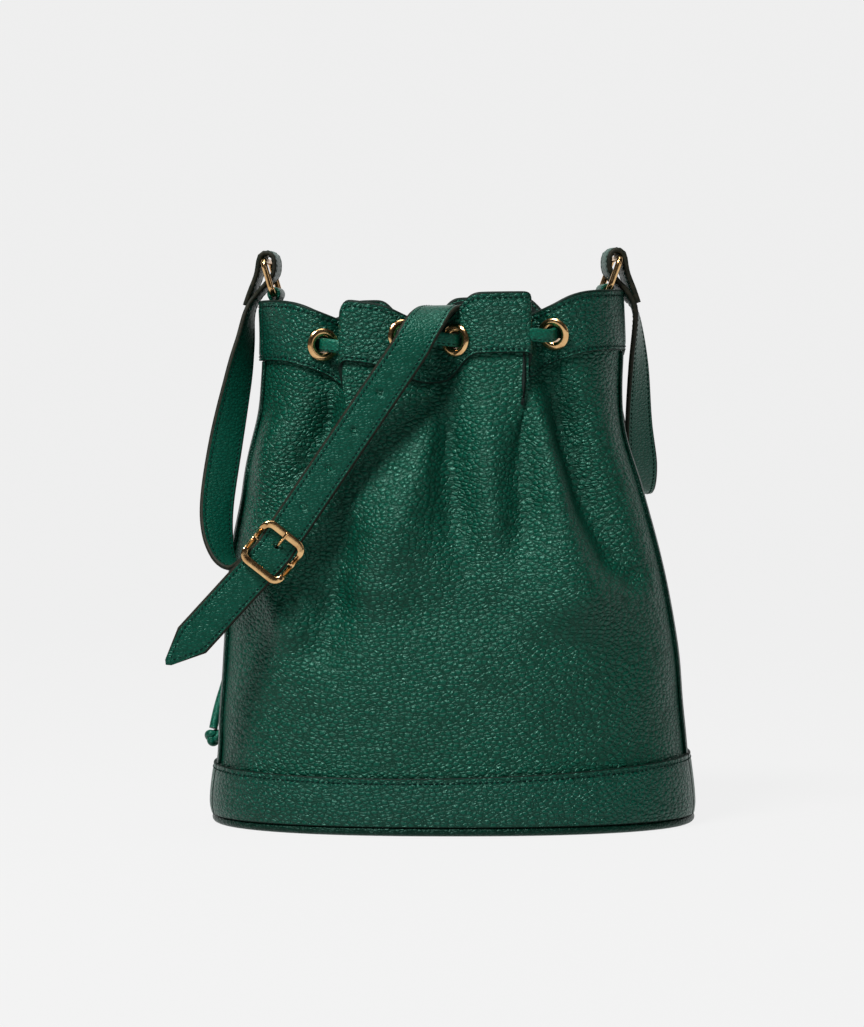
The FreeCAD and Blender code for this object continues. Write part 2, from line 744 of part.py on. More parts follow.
def make_short_strap():
    """Strap from the left ring to the buckle's centre bar."""
    bar_centre = V(BUCKLE_CENTRE.x, CENTRE_BAR_Y, BUCKLE_CENTRE.z)
    reach = CENTRE_BAR_RADIUS + 0.3 + BAR_LOOP_THICK / 2
    stations = loop_stations(RINGS["left"]) + SHORT_RUN
    stations.append((bar_centre + BUCKLE_ALONG * 7 + V(0, reach - 0.4, 0), V(0.78, 0.2, -0.6)))
    strap = ribbon(stations, STRAP_WIDTH, BAR_LOOP_THICK + 0.6)
    loop = Part.makeCylinder(reach + BAR_LOOP_THICK / 2, STRAP_WIDTH,
                             bar_centre - BUCKLE_ACROSS * (STRAP_WIDTH / 2), BUCKLE_ACROSS)
    bore = Part.makeCylinder(CENTRE_BAR_RADIUS + 0.3, STRAP_WIDTH * 2,
                             bar_centre - BUCKLE_ACROSS * STRAP_WIDTH, BUCKLE_ACROSS)
    link = ribbon([(bar_centre + BUCKLE_ALONG * 8.5 + V(0, reach - 0.2, 0), BUCKLE_ACROSS),
                   (bar_centre + BUCKLE_ALONG * 1.5 + V(0, reach - 0.2, 0), BUCKLE_ACROSS)],
                  STRAP_WIDTH, BAR_LOOP_THICK)
    slot = Part.makeBox(4.4, 30, 12, V(-2.2, -30, -6))
    turn = FreeCAD.Rotation(BUCKLE_ACROSS, V(0, 1, 0), BUCKLE_ALONG * -1, "XYZ")
    slot.Placement = FreeCAD.Placement(bar_centre + V(0, 3.6, 0), turn)
    return strap.fuse(link).fuse(loop).cut(bore).cut(slot)


# ================================================================ buckle
def make_buckle_frame():
    """Square buckle with raised end bars and a low centre bar."""
    def at(a, b, y):
        flat = BUCKLE_ACROSS * a + BUCKLE_ALONG * b
        return V(BUCKLE_CENTRE.x + flat.x, y, BUCKLE_CENTRE.z + flat.z)

    corner = 5.0
    width = BUCKLE_HALF_WIDTH
    length = BUCKLE_HALF_LENGTH
    middle_y = CENTRE_BAR_Y
    pieces = []
    for sb in (-1, 1):
        left = at(-width + corner, sb * length, END_BAR_Y)
        right = at(width - corner, sb * length, END_BAR_Y)
        pieces.append(bar(left, right, END_BAR_RADIUS))
        for sa in (-1, 1):
            start = at(sa * (width - corner), sb * length, END_BAR_Y)
            bend = at(sa * (width - corner * 0.29), sb * (length - corner * 0.29), END_BAR_Y)
            low = at(sa * width, sb * (length - corner), END_BAR_Y)
            foot = at(sa * width, 0, middle_y)
            pieces.append(bar(start, bend, END_BAR_RADIUS))
            pieces.append(bar(bend, low, END_BAR_RADIUS))
            pieces.append(bar(low, foot, END_BAR_RADIUS))
            pieces += [Part.makeSphere(END_BAR_RADIUS, point) for point in (start, bend, low)]
            if sb > 0:
                pieces.append(Part.makeSphere(END_BAR_RADIUS, foot))
    pieces.append(bar(at(-width, 0, middle_y), at(width, 0, middle_y), CENTRE_BAR_RADIUS))
    frame = pieces[0]
    for piece in pieces[1:]:
        frame = frame.fuse(piece)
    return frame


def make_prong():
    """Prong: an eye round the centre bar and a bent tongue."""
    centre = V(BUCKLE_CENTRE.x, CENTRE_BAR_Y, BUCKLE_CENTRE.z)
    eye_bore = CENTRE_BAR_RADIUS + 0.15
    eye_radius = eye_bore + PRONG_RADIUS
    eye_start = centre - BUCKLE_ACROSS * PRONG_RADIUS
    eye = Part.makeCylinder(eye_bore + 2 * PRONG_RADIUS, 2 * PRONG_RADIUS, eye_start, BUCKLE_ACROSS)
    up = BUCKLE_ALONG * -1
    start = centre + up * eye_radius
    before_hole = V(0, STRAP_FRONT_Y + 3.0, 0) + V(centre.x, 0, centre.z) + up * 3.8
    after_hole = V(0, STRAP_FRONT_Y - 2.0, 0) + V(centre.x, 0, centre.z) + up * 5.0
    tip_y = END_BAR_Y - END_BAR_RADIUS - PRONG_RADIUS - 0.25
    rest = V(centre.x, tip_y, centre.z) + up * (BUCKLE_HALF_LENGTH - 2.4)
    tip = V(centre.x, tip_y, centre.z) + up * (BUCKLE_HALF_LENGTH + 0.9)
    prong = eye
    points = [start, before_hole, after_hole, rest, tip]
    for a, b in zip(points, points[1:]):
        prong = prong.fuse(bar(a, b, PRONG_RADIUS)).fuse(Part.makeSphere(PRONG_RADIUS, b))
    return prong.cut(Part.makeCylinder(eye_bore, 20, centre - BUCKLE_ACROSS * 10, BUCKLE_ACROSS))


# ================================================================ assembly
def build():
    """All the nodes by name."""
    front_places = [eyelet_place(hole, True, i in PLAIN_HOLES) for i, hole in enumerate(FRONT_HOLES)]
    back_places = [eyelet_place(hole, False) for hole in BACK_HOLES]
    nodes = {
        "base_panel": oval_plate(0, BASE_THICK, 2.2),
        "base_board": oval_plate(BASE_THICK + 0.1, BOARD_THICK, 3.4),
        "lining_floor": oval_plate(SHEET_BOTTOM + 0.1, LINING, 3.6),
        "base_welt": make_base_welt(),
    }
    for front, face, places in ((True, "front", front_places), (False, "back", back_places)):
        nodes.update(divided(pierced(make_panel(front), places), face))
        nodes[face + "_lining"] = pierced(make_lining(front), places)
        nodes[face + "_top_band"] = pierced(make_top_band(front), places)
        nodes[face + "_base_band"] = make_base_band(front)
    nodes["left_side_welt"] = make_side_welt(math.pi + SEAM_ANGLE)
    nodes["right_side_welt"] = make_side_welt(2 * math.pi - SEAM_ANGLE)
    metal = [place for i, place in enumerate(front_places) if i not in PLAIN_HOLES]
    for number, place in enumerate(metal + back_places, 1):
        nodes["eyelet_%02d" % number] = make_eyelet(place)
        nodes["eyelet_washer_%02d" % number] = make_washer(place)
    nodes["drawstring_front"] = make_drawstring_front(front_places)
    nodes["drawstring_back"] = make_drawstring_back(back_places)
    nodes["drawstring_end_a"] = make_cord_end(back_places[5], END_A_ROUTE, "drawstring_end_a")
    nodes["drawstring_end_b"] = make_cord_end(back_places[4], END_B_ROUTE, "drawstring_end_b")
    nodes["drawstring_knot_a"] = make_knot(END_A_ROUTE)
    nodes["drawstring_knot_b"] = make_knot(END_B_ROUTE)
    for side, ring in RINGS.items():
        nodes["ring_" + side] = make_ring(ring)
        nodes["ring_tab_" + side] = make_tab(ring)
    nodes["strap_long"] = make_long_strap()
    nodes["strap_short"] = make_short_strap()
    nodes["buckle_frame"] = make_buckle_frame()
    nodes["buckle_prong"] = make_prong()
    return nodes


def main():
    """Write one STEP file for each node."""
    os.makedirs("parts", exist_ok=True)
    for name, shape in build().items():
        print("%-18s solids %d valid %s volume %.1f" % (name, len(shape.Solids), shape.isValid(), shape.Volume))
        shape.exportStep("parts/%s.step" % name)


main()
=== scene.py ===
"""Drawstring bucket bag in pebbled green leather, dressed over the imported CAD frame."""
import math

import bpy
import numpy as np
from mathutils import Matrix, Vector


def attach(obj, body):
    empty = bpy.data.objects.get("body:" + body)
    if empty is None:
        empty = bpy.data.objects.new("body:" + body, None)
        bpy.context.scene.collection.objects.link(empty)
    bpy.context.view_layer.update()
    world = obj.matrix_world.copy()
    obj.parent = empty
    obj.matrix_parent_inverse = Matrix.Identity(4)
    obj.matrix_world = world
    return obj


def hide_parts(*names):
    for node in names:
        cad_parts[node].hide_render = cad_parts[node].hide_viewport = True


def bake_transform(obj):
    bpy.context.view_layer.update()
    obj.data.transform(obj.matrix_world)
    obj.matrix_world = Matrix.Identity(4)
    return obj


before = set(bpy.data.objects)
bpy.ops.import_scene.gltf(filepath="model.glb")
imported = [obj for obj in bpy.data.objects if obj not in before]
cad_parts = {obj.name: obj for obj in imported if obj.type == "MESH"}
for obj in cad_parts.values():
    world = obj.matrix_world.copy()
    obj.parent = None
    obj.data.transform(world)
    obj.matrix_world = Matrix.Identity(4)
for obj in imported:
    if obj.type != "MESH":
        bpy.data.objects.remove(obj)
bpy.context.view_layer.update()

MM = 0.001
scene = bpy.context.scene
scene.view_settings.view_transform = "Standard"

# ======== camera
camera = bpy.data.objects.new("camera", bpy.data.cameras.new("camera"))
camera.location = (-0.0122, -2.0, 0.245)
camera.rotation_euler = (math.radians(90 - 2.03), 0, 0)
camera.data.lens = 123.4
camera.data.sensor_width = 36
camera.data.clip_start = 0.1
camera.data.clip_end = 50
scene.collection.objects.link(camera)
scene.camera = camera


# ======== materials
class Graph:
    """Short-hand for building one node material."""

    def __init__(self, name):
        self.material = bpy.data.materials.new(name)
        self.material.use_nodes = True
        self.tree = self.material.node_tree
        self.tree.nodes.clear()
        self.output = self.node("ShaderNodeOutputMaterial")
        self.shader = self.node("ShaderNodeBsdfPrincipled")
        self.link(self.shader.outputs[0], self.output.inputs[0])

    def node(self, kind, **settings):
        node = self.tree.nodes.new(kind)
        for key, value in settings.items():
            setattr(node, key, value)
        return node

    def link(self, source, target):
        self.tree.links.new(source, target)

    def set(self, **values):
        for key, value in values.items():
            self.shader.inputs[key.replace("_", " ")].default_value = value

    def coordinates(self, scale=(1, 1, 1)):
        place = self.node("ShaderNodeTexCoord")
        mapping = self.node("ShaderNodeMapping")
        mapping.inputs["Scale"].default_value = scale
        self.link(place.outputs["Object"], mapping.inputs["Vector"])
        return mapping.outputs["Vector"]

    def noise(self, vector, scale, detail=3.0, roughness=0.5):
        node = self.node("ShaderNodeTexNoise")
        node.inputs["Scale"].default_value = scale
        node.inputs["Detail"].default_value = detail
        node.inputs["Roughness"].default_value = roughness
        self.link(vector, node.inputs["Vector"])
        return node.outputs["Fac"]

    def cells(self, vector, scale, feature="DISTANCE_TO_EDGE"):
        node = self.node("ShaderNodeTexVoronoi", feature=feature)
        node.inputs["Scale"].default_value = scale
        self.link(vector, node.inputs["Vector"])
        return node.outputs["Distance"]

    def math(self, operation, a, b=0.0):
        node = self.node("ShaderNodeMath", operation=operation)
        for value, socket in ((a, node.inputs[0]), (b, node.inputs[1])):
            if isinstance(value, (int, float)):
                socket.default_value = value
            else:
                self.link(value, socket)
        return node.outputs[0]

    def spread(self, value, low, high, out_low=0.0, out_high=1.0):
        node = self.node("ShaderNodeMapRange", interpolation_type="SMOOTHSTEP")
        self.link(value, node.inputs["Value"])
        limits = {"From Min": low, "From Max": high, "To Min": out_low, "To Max": out_high}
        for key, number in limits.items():
            node.inputs[key].default_value = number
        return node.outputs["Result"]

    def ramp(self, value, stops):
        node = self.node("ShaderNodeValToRGB")
        ramp = node.color_ramp
        while len(ramp.elements) < len(stops):
            ramp.elements.new(0.5)
        for element, (position, colour) in zip(ramp.elements, stops):
            element.position = position
            element.color = (*colour, 1)
        self.link(value, node.inputs["Fac"])
        return node.outputs["Color"]

    def warped(self, vector, amount, scale):
        """The same coordinates, pushed about by noise."""
        node = self.node("ShaderNodeTexNoise")
        node.inputs["Scale"].default_value = scale
        self.link(vector, node.inputs["Vector"])
        push = self.node("ShaderNodeVectorMath", operation="MULTIPLY_ADD")
        self.link(node.outputs["Color"], push.inputs[0])
        push.inputs[1].default_value = (amount,) * 3
        self.link(vector, push.inputs[2])
        return push.outputs["Vector"]

    def bump(self, height, strength, distance, normal=None):
        node = self.node("ShaderNodeBump")
        node.inputs["Strength"].default_value = strength
        node.inputs["Distance"].default_value = distance
        self.link(height, node.inputs["Height"])
        if normal is not None:
            self.link(normal, node.inputs["Normal"])
        return node.outputs["Normal"]

    def finish(self, colour=None, roughness=None, normal=None):
        for source, key in ((colour, "Base Color"), (roughness, "Roughness"), (normal, "Normal")):
            if source is not None:
                self.link(source, self.shader.inputs[key])
        return self.material


def srgb(red, green, blue):
    """Linear colour from 0-255 display values."""
    def linear(value):
        value /= 255
        return value / 12.92 if value <= 0.04045 else ((value + 0.055) / 1.055) ** 2.4
    return tuple(linear(value) for value in (red, green, blue))


def pebbled(name, shaded_crease, middle, lit_crown, cell, depth=0.0006, roughness=(0.30, 0.44), shine=0.5):
    """Pebbled leather: rounded grains a little wider than tall, with painted shade in the creases and
    painted light on the crowns, mixed with random tone.
    """
    g = Graph(name)
    place = g.warped(g.coordinates((0.78, 0.78, 1.22)), 0.0009, 420)
    edge = g.spread(g.cells(place, 1 / cell), 0.0, 0.22)
    dome = g.spread(g.cells(place, 1 / cell, "F1"), 0.1, 0.75, 1.0, 0.0)
    small = g.spread(g.cells(place, 2.1 / cell), 0.0, 0.2)
    grain = g.math("ADD", g.math("MULTIPLY", edge, 0.5), g.math("MULTIPLY", dome, 0.6))
    grain = g.math("ADD", grain, g.math("MULTIPLY", small, 0.12))
    cloud = g.noise(place, 18, 3.0, 0.5)
    tone = g.math("ADD", g.math("MULTIPLY", grain, 0.6), g.math("MULTIPLY", cloud, 0.35))
    # Colour by grain height is painted shade in the creases and painted light on the crowns; the cloud noise
    # adds random tone.
    colour = g.ramp(tone, [(0.15, shaded_crease), (0.55, middle), (0.95, lit_crown)])
    gloss = g.spread(g.math("ADD", cloud, g.math("MULTIPLY", grain, 0.3)), 0.35, 1.0,
                     roughness[1], roughness[0])
    normal = g.bump(grain, 1.0, depth)
    normal = g.bump(g.noise(place, 1100, 2.0), 0.2, depth * 0.25, normal)
    g.set(Specular_IOR_Level=shine, Specular_Tint=(0.36, 0.8, 0.64, 1))
    return g.finish(colour, gloss, normal)


def plain_leather(name, colour, dark, roughness=0.5, scale=500):
    """Smooth finished leather or edge paint with a little unevenness."""
    g = Graph(name)
    place = g.coordinates()
    fac = g.noise(place, scale, 4.0, 0.6)
    tone = g.ramp(fac, [(0.3, dark), (0.7, colour)])
    rough = g.spread(fac, 0.2, 0.8, roughness - 0.1, roughness + 0.1)
    g.set(Specular_IOR_Level=0.15)
    return g.finish(tone, rough, g.bump(fac, 0.4, 0.0002))


def metal(name, colour, dark, roughness):
    """Plated metal with faint handling marks."""
    g = Graph(name)
    place = g.coordinates()
    fac = g.noise(place, 180, 5.0, 0.6)
    tone = g.ramp(fac, [(0.25, dark), (0.6, colour)])
    rough = g.spread(g.noise(place, 700, 3.0), 0.2, 0.8, roughness - 0.05, roughness + 0.07)
    g.set(Metallic=1.0)
    return g.finish(tone, rough, g.bump(g.noise(place, 1500, 2.0), 0.08, 0.0001))


def woven(name, colour, dark, pitch):
    """Plain weave lining or thread."""
    g = Graph(name)
    place = g.coordinates()
    waves = []
    for direction in ("X", "Z"):
        wave = g.node("ShaderNodeTexWave", bands_direction=direction)
        wave.inputs["Scale"].default_value = 0.314 / pitch
        wave.inputs["Distortion"].default_value = 0.4
        g.link(place, wave.inputs["Vector"])
        waves.append(wave.outputs["Fac"])
    weave = g.math("MULTIPLY", waves[0], waves[1])
    mixed = g.math("ADD", g.math("MULTIPLY", weave, 0.5), g.math("MULTIPLY", g.noise(place, 60), 0.5))
    tone = g.ramp(mixed, [(0.2, dark), (0.7, colour)])
    rough = g.spread(weave, 0, 1, 0.85, 0.7)
    g.set(Specular_IOR_Level=0.12)
    return g.finish(tone, rough, g.bump(weave, 0.5, 0.0002))


# Each leather takes three colours, darkest to lightest: painted shade for the grain creases, a middle, and
# painted light for the grain crowns.
BODY = pebbled("body_leather", srgb(0, 38, 26), srgb(1, 59, 44), srgb(2, 69, 53), 0.0026)
BAND = pebbled("band_leather", srgb(0, 38, 26), srgb(1, 57, 44), srgb(3, 67, 52), 0.0025)
STRAP = pebbled("strap_leather", srgb(0, 48, 35), srgb(1, 60, 46), srgb(3, 66, 52), 0.0018, 0.0002,
                shine=0.4)
# Side welts and base piping: a much darker copy of the body leather, painted shade for the shadow along the
# side seams and under the base.
SEAM_SHADE_LEATHER = pebbled("welt_leather", srgb(0, 20, 12), srgb(0, 30, 21), srgb(2, 38, 28), 0.0020, 0.0003,
               shine=0.3)
CORD = pebbled("cord_leather", srgb(0, 54, 40), srgb(3, 76, 59), srgb(8, 90, 71), 0.0016, 0.00016)
EDGE = plain_leather("painted_edge", srgb(40, 38, 28), srgb(10, 20, 14), 0.6)
BAND_EDGE = plain_leather("cut_edge", srgb(2, 30, 21), srgb(0, 16, 10), 0.6)
# Walls of the strap holes: near-black painted shade for the dark inside of each hole.
PAINTED_HOLE_SHADE = plain_leather("hole_wall_shade", srgb(6, 20, 15), srgb(1, 8, 6), 0.8)
THREAD = woven("thread", srgb(0, 46, 38), srgb(0, 20, 16), 0.0004)
LINING = woven("lining", srgb(34, 46, 42), srgb(14, 24, 21), 0.0007)
GOLD = metal("light_gold", srgb(226, 186, 132), srgb(188, 142, 92), 0.17)


# ======== cords
CORD_DIAMETER = 0.005
# Free ends of the drawstring, from the eyelet each comes out of down to its knot.
ROUTE_A = [
    (-88.65, 42.2, 276.52), (-91.02, 51.92, 276.29), (-94, 57.5, 269.5), (-97, 60.5, 258),
    (-101, 61, 235), (-106, 58, 203), (-112, 54, 170), (-118.5, 48, 135), (-125, 42, 103),
    (-131.5, 36, 76), (-136.5, 31, 60), (-138.5, 28, 49)]
ROUTE_B = [
    (-62.93, 54.61, 277.75), (-67.52, 63.49, 278.09), (-71, 69, 271), (-73, 72.5, 259),
    (-76, 74, 238), (-80.5, 74, 205), (-86, 72, 165), (-92, 71, 128), (-96, 70, 98), (-98, 69, 80)]


def cord_curve(name, route):
    """Round cord along a smooth open spline."""
    curve = bpy.data.curves.new(name, "CURVE")
    curve.dimensions = "3D"
    curve.resolution_u = 8
    curve.bevel_depth = CORD_DIAMETER / 2
    curve.bevel_resolution = 5
    curve.use_fill_caps = True
    spline = curve.splines.new("NURBS")
    spline.points.add(len(route) - 1)
    for point, place in zip(spline.points, route):
        point.co = (*(Vector(place) * MM), 1)
    spline.order_u = 3
    spline.use_endpoint_u = True
    curve.materials.append(CORD)
    piece = bpy.data.objects.new(name, curve)
    scene.collection.objects.link(piece)
    return piece


# ======== mesh helpers
def make_mesh(name, points, faces, materials, indices=None, smooth=True):
    """Object from points in millimetres."""
    mesh = bpy.data.meshes.new(name)
    mesh.from_pydata((np.asarray(points, float) * MM).tolist(), [], faces)
    for material in materials:
        mesh.materials.append(material)
    mesh.polygons.foreach_set("use_smooth", [smooth] * len(mesh.polygons))
    if indices is not None:
        mesh.polygons.foreach_set("material_index", indices)
    mesh.update()
    mesh.validate()
    piece = bpy.data.objects.new(name, mesh)
    scene.collection.objects.link(piece)
    return piece


def lofted(rings, closed_round=True, caps=True, loop=False):
    """Quads between rings of points, an array of ring by point by xyz."""
    rings = np.asarray(rings)
    count, around = rings.shape[:2]
    faces = []
    for i in range(count if loop else count - 1):
        k = (i + 1) % count
        for j in range(around if closed_round else around - 1):
            m = (j + 1) % around
            faces.append((i * around + j, i * around + m, k * around + m, k * around + j))
    if caps and not loop and closed_round:
        faces.append(tuple(range(around - 1, -1, -1)))
        faces.append(tuple((count - 1) * around + j for j in range(around)))
    return rings.reshape(-1, 3), faces


def unit(vectors):
    """Vectors of length one."""
    vectors = np.asarray(vectors, float)
    return vectors / np.maximum(np.linalg.norm(vectors, axis=-1, keepdims=True), 1e-12)


def hermite(t, first, second, slope_a, slope_b):
    """Cubic from first to second with the given slopes."""
    t2, t3 = t * t, t * t * t
    return (first * (2 * t3 - 3 * t2 + 1) + slope_a * (t3 - 2 * t2 + t)
            + second * (3 * t2 - 2 * t3) + slope_b * (t3 - t2))


def catmull(points, step, closed=False):
    """Smooth line through points, sampled about every step millimetres."""
    points = np.asarray(points, float)
    count = len(points)
    out = []
    for i in range(count if closed else count - 1):
        if closed:
            p = [points[(i + k) % count] for k in (-1, 0, 1, 2)]
        else:
            p = [points[min(max(i + k, 0), count - 1)] for k in (-1, 0, 1, 2)]
        steps = max(1, round(float(np.linalg.norm((p[2] - p[1])[:3])) / step))
        for j in range(steps):
            out.append(hermite(j / steps, p[1], p[2], (p[2] - p[0]) / 2, (p[3] - p[1]) / 2))
    if not closed:
        out.append(points[-1])
    return np.array(out)


def headings(line, closed=False):
    """Unit direction at every point of a line."""
    if closed:
        return unit(np.roll(line, -1, 0) - np.roll(line, 1, 0))
    return unit(np.gradient(line, axis=0))


def tube(line, up, section, closed=False):
    """Section of (across, along up) points carried along a line."""
    along = headings(line, closed)
    up = np.asarray(up, float)
    if up.ndim == 1:
        up = np.tile(up, (len(line), 1))
    up = unit(up - along * np.sum(up * along, 1, keepdims=True))
    across = np.cross(along, up)
    return [line[i] + np.outer(section[:, 0], across[i]) + np.outer(section[:, 1], up[i])
            for i in range(len(line))]


def rounded_section(half_width, half_height, radius, steps=4):
    """Rounded rectangle, counter-clockwise."""
    points = []
    for corner, (sx, sy) in enumerate(((1, 1), (-1, 1), (-1, -1), (1, -1))):
        for k in range(steps + 1):
            angle = math.pi / 2 * (corner + k / steps)
            points.append((sx * (half_width - radius) + radius * math.cos(angle),
                           sy * (half_height - radius) + radius * math.sin(angle)))
    return np.array(points)


def travel(line):
    """Distance travelled at every point of a line."""
    return np.concatenate([[0], np.cumsum(np.linalg.norm(np.diff(line, axis=0), axis=1))])


def resampled(line, pitch):
    """Rows of a line at even steps of about one pitch."""
    lengths = travel(line)
    count = max(2, int(lengths[-1] / pitch))
    targets = np.linspace(0, lengths[-1], count + 1)
    return np.array([np.interp(targets, lengths, line[:, k]) for k in range(line.shape[1])]).T


def stitches(name, line, normal, pitch, length, radius, slant=0.0):
    """A row of thread stitches lying along a line on a surface."""
    both = resampled(np.hstack([line, normal]), pitch)
    centre, out = both[:, :3], unit(both[:, 3:])
    along = headings(centre)
    side = unit(np.cross(out, along))
    middle = (centre[:-1] + centre[1:]) / 2
    along, side, out = along[:-1], side[:-1], out[:-1]
    direction = unit(along * math.cos(slant) + side * math.sin(slant))
    beside = np.cross(out, direction)
    rings = [(-0.5, 0.25, -0.25), (-0.36, 0.85, 0.05), (0.0, 1.0, 0.3), (0.36, 0.85, 0.05),
             (0.5, 0.25, -0.25)]             # (place along, size, lift), as shares of length and radius
    around = 6
    _, pattern = lofted(np.zeros((len(rings), around, 3)))
    points, faces = [], []
    for i in range(len(middle)):
        start = len(points)
        for t, size, lift in rings:
            at = middle[i] + direction[i] * (t * length) + out[i] * (lift * radius)
            for k in range(around):
                angle = 2 * math.pi * k / around
                spoke = beside[i] * math.cos(angle) + out[i] * math.sin(angle)
                points.append(at + spoke * radius * size)
        faces += [tuple(start + corner for corner in face) for face in pattern]
    return make_mesh(name, points, faces, [THREAD])


# ======== leather form
HEIGHTS = np.array([0, 12, 40, 100, 150, 190, 230, 270, 305.0])
REACH_LEFT = np.array([134, 136.5, 133.5, 130, 126, 119, 110.5, 108, 109])
REACH_RIGHT = np.array([134, 135.5, 132.5, 126.5, 117.5, 106, 95, 95.5, 94])
DEPTH_FRONT = np.array([80, 81.5, 79, 77, 73, 68, 62, 58, 57.0])
DEPTH_BACK = np.array([80, 81.5, 79, 76, 71, 65, 59, 56, 55.0])
PLAN_POWER = 2.35
# Gathers: x at the rim, x and height where each fades out, depth, half width at the rim and there.
FRONT_GATHERS = [(-63, -84, 140, 14, 9, 17), (-12, -4, 130, 13, 14, 20), (41, 98, 120, 14, 9, 18)]
BACK_GATHERS = [(-74, -84, 170, 9, 9, 14), (-20, -14, 140, 12, 12, 18), (70, 80, 140, 12, 12, 18)]
RIM_HEIGHT, RIM_TILT = 298.0, 0.03
# Dips of the rim: x, drop, then half width and steepness to the left and to the right.
FRONT_DIPS = [(-58, 15, 22, 2, 7, 4), (-13, 16, 25, 2, 18, 4), (40, 14, 8, 4, 19.5, 2)]
BACK_DIPS = [(-74, 10, 14, 4, 14, 4), (-20, 13, 16, 4, 16, 4), (70, 16, 21, 4, 21, 4)]
TOP_BAND, BASE_BAND = 34.0, 32.0
SEAM_ANGLE = math.radians(9)
BAND_THICK, PANEL_THICK, LAYER_GAP = 1.8, 1.6, 0.35
SEAM_ROOM = 0.006                            # angle left free beside a side seam
RIM_SEWING, BAND_SEWING, FOOT_SEWING = 3.4, 2.2, 3.0     # stitch rows, from the edge beside each

# Soft folds laid over the gathers: points of (x, z, height, half width), outward is positive.
FRONT_FOLDS = [
    [(-8, 252, 0, 6), (-14, 215, 6, 9), (-20, 195, 8, 11), (-33, 168, 11, 17), (-45, 140, 6, 20),
     (-50, 115, 0, 20)],
    [(-4, 242, 0, 6), (-3, 205, -6, 9), (0, 180, -7, 11), (5, 150, -4, 12), (8, 122, 0, 12)],
    [(16, 258, 0, 6), (18, 215, 3.5, 8), (20, 175, 4.0, 10), (18, 145, 0, 12)],
    [(30, 252, 0, 6), (35, 215, -4.5, 8), (39, 175, -5, 9), (34, 138, 0, 10)],
    [(45, 254, 0, 5), (51, 214, 7, 7), (58, 182, 10, 10), (62, 155, 11, 17), (66, 132, 11, 22),
     (62, 100, 0, 26)],
    [(60, 250, 0, 7), (68, 214, -10, 10), (77, 182, -12, 12), (89, 154, -10, 10), (99, 142, -5, 8),
     (112, 136, 0, 8)],
    [(-70, 248, 0, 6), (-77, 222, -9, 8), (-86, 200, -8, 9), (-100, 178, -4, 9), (-108, 164, 0, 8)],
    [(-96, 240, 0, 8), (-102, 212, 3.5, 9), (-112, 180, 0, 9)],
    [(-56, 186, 0, 10), (-64, 154, -9, 12), (-68, 128, -11, 13), (-74, 104, -6, 12), (-78, 86, 0, 10)],
    [(-104, 152, 0, 9), (-101, 136, 4, 10), (-92, 115, 6, 11), (-86, 94, 0, 11)],
    [(-120, 66, 0, 6), (-100, 66, -1.2, 8), (-76, 64, -1.2, 8), (-60, 62, 0, 6)],
    [(-44, 114, 0, 10), (-15, 124, -3.5, 14), (20, 122, -3.5, 14), (40, 112, 0, 12)],
]
BACK_FOLDS = [
    [(-50, 250, 0, 8), (-52, 210, 3.0, 12), (-56, 165, 4.0, 18), (-58, 130, 0, 20)],
    [(14, 255, 0, 8), (18, 210, 3.0, 12), (26, 165, 4.0, 20), (30, 125, 0, 22)],
    [(76, 190, 0, 8), (84, 165, -3, 12), (92, 140, 0, 12)],
    [(-30, 120, 0, 8), (0, 110, -2.0, 10), (34, 112, 0, 8)],
]


def eased(value, start, run):
    """Smooth step from 0 to 1 as value goes from start to start + run."""
    t = np.clip((value - start) / run, 0, 1)
    return t * t * (3 - 2 * t)


def interpolate(height, values):
    """Smooth curve through values at HEIGHTS."""
    last = len(HEIGHTS) - 1
    i = np.clip(np.searchsorted(HEIGHTS, height) - 1, 0, last - 1)
    lo, hi = np.maximum(i - 1, 0), np.minimum(i + 2, last)
    span = HEIGHTS[i + 1] - HEIGHTS[i]
    t = (height - HEIGHTS[i]) / span
    slope_a = (values[i + 1] - values[lo]) / (HEIGHTS[i + 1] - HEIGHTS[lo]) * span
    slope_b = (values[hi] - values[i]) / (HEIGHTS[hi] - HEIGHTS[i]) * span
    return hermite(t, values[i], values[i + 1], slope_a, slope_b)


def plan_point(angle, height):
    """Point of the plain oval and its plan normal."""
    c, s = np.cos(angle), np.sin(angle)
    a = np.where(c >= 0, interpolate(height, REACH_RIGHT), interpolate(height, REACH_LEFT))
    b = np.where(s < 0, interpolate(height, DEPTH_FRONT), interpolate(height, DEPTH_BACK))
    size = (np.abs(c / a) ** PLAN_POWER + np.abs(s / b) ** PLAN_POWER) ** (-1 / PLAN_POWER)
    x, y = size * c, size * s
    nx = np.copysign(np.abs(x / a) ** (PLAN_POWER - 1) / a, x)
    ny = np.copysign(np.abs(y / b) ** (PLAN_POWER - 1) / b, y)
    length = np.hypot(nx, ny)
    return x, y, nx / length, ny / length


def gather_depth(x, height, gathers):
    """How far the gathers push the wall inwards."""
    total = 0.0
    for top, low, end, depth, wide_top, wide_low in gathers:
        t = np.clip((RIM_HEIGHT - height) / (RIM_HEIGHT - end), 0, 1)
        centre = top + (low - top) * t
        width = wide_top + (wide_low - wide_top) * t
        total = total + depth * (1 - t * t * (3 - 2 * t)) * np.exp(-((x - centre) / width) ** 2)
    return total


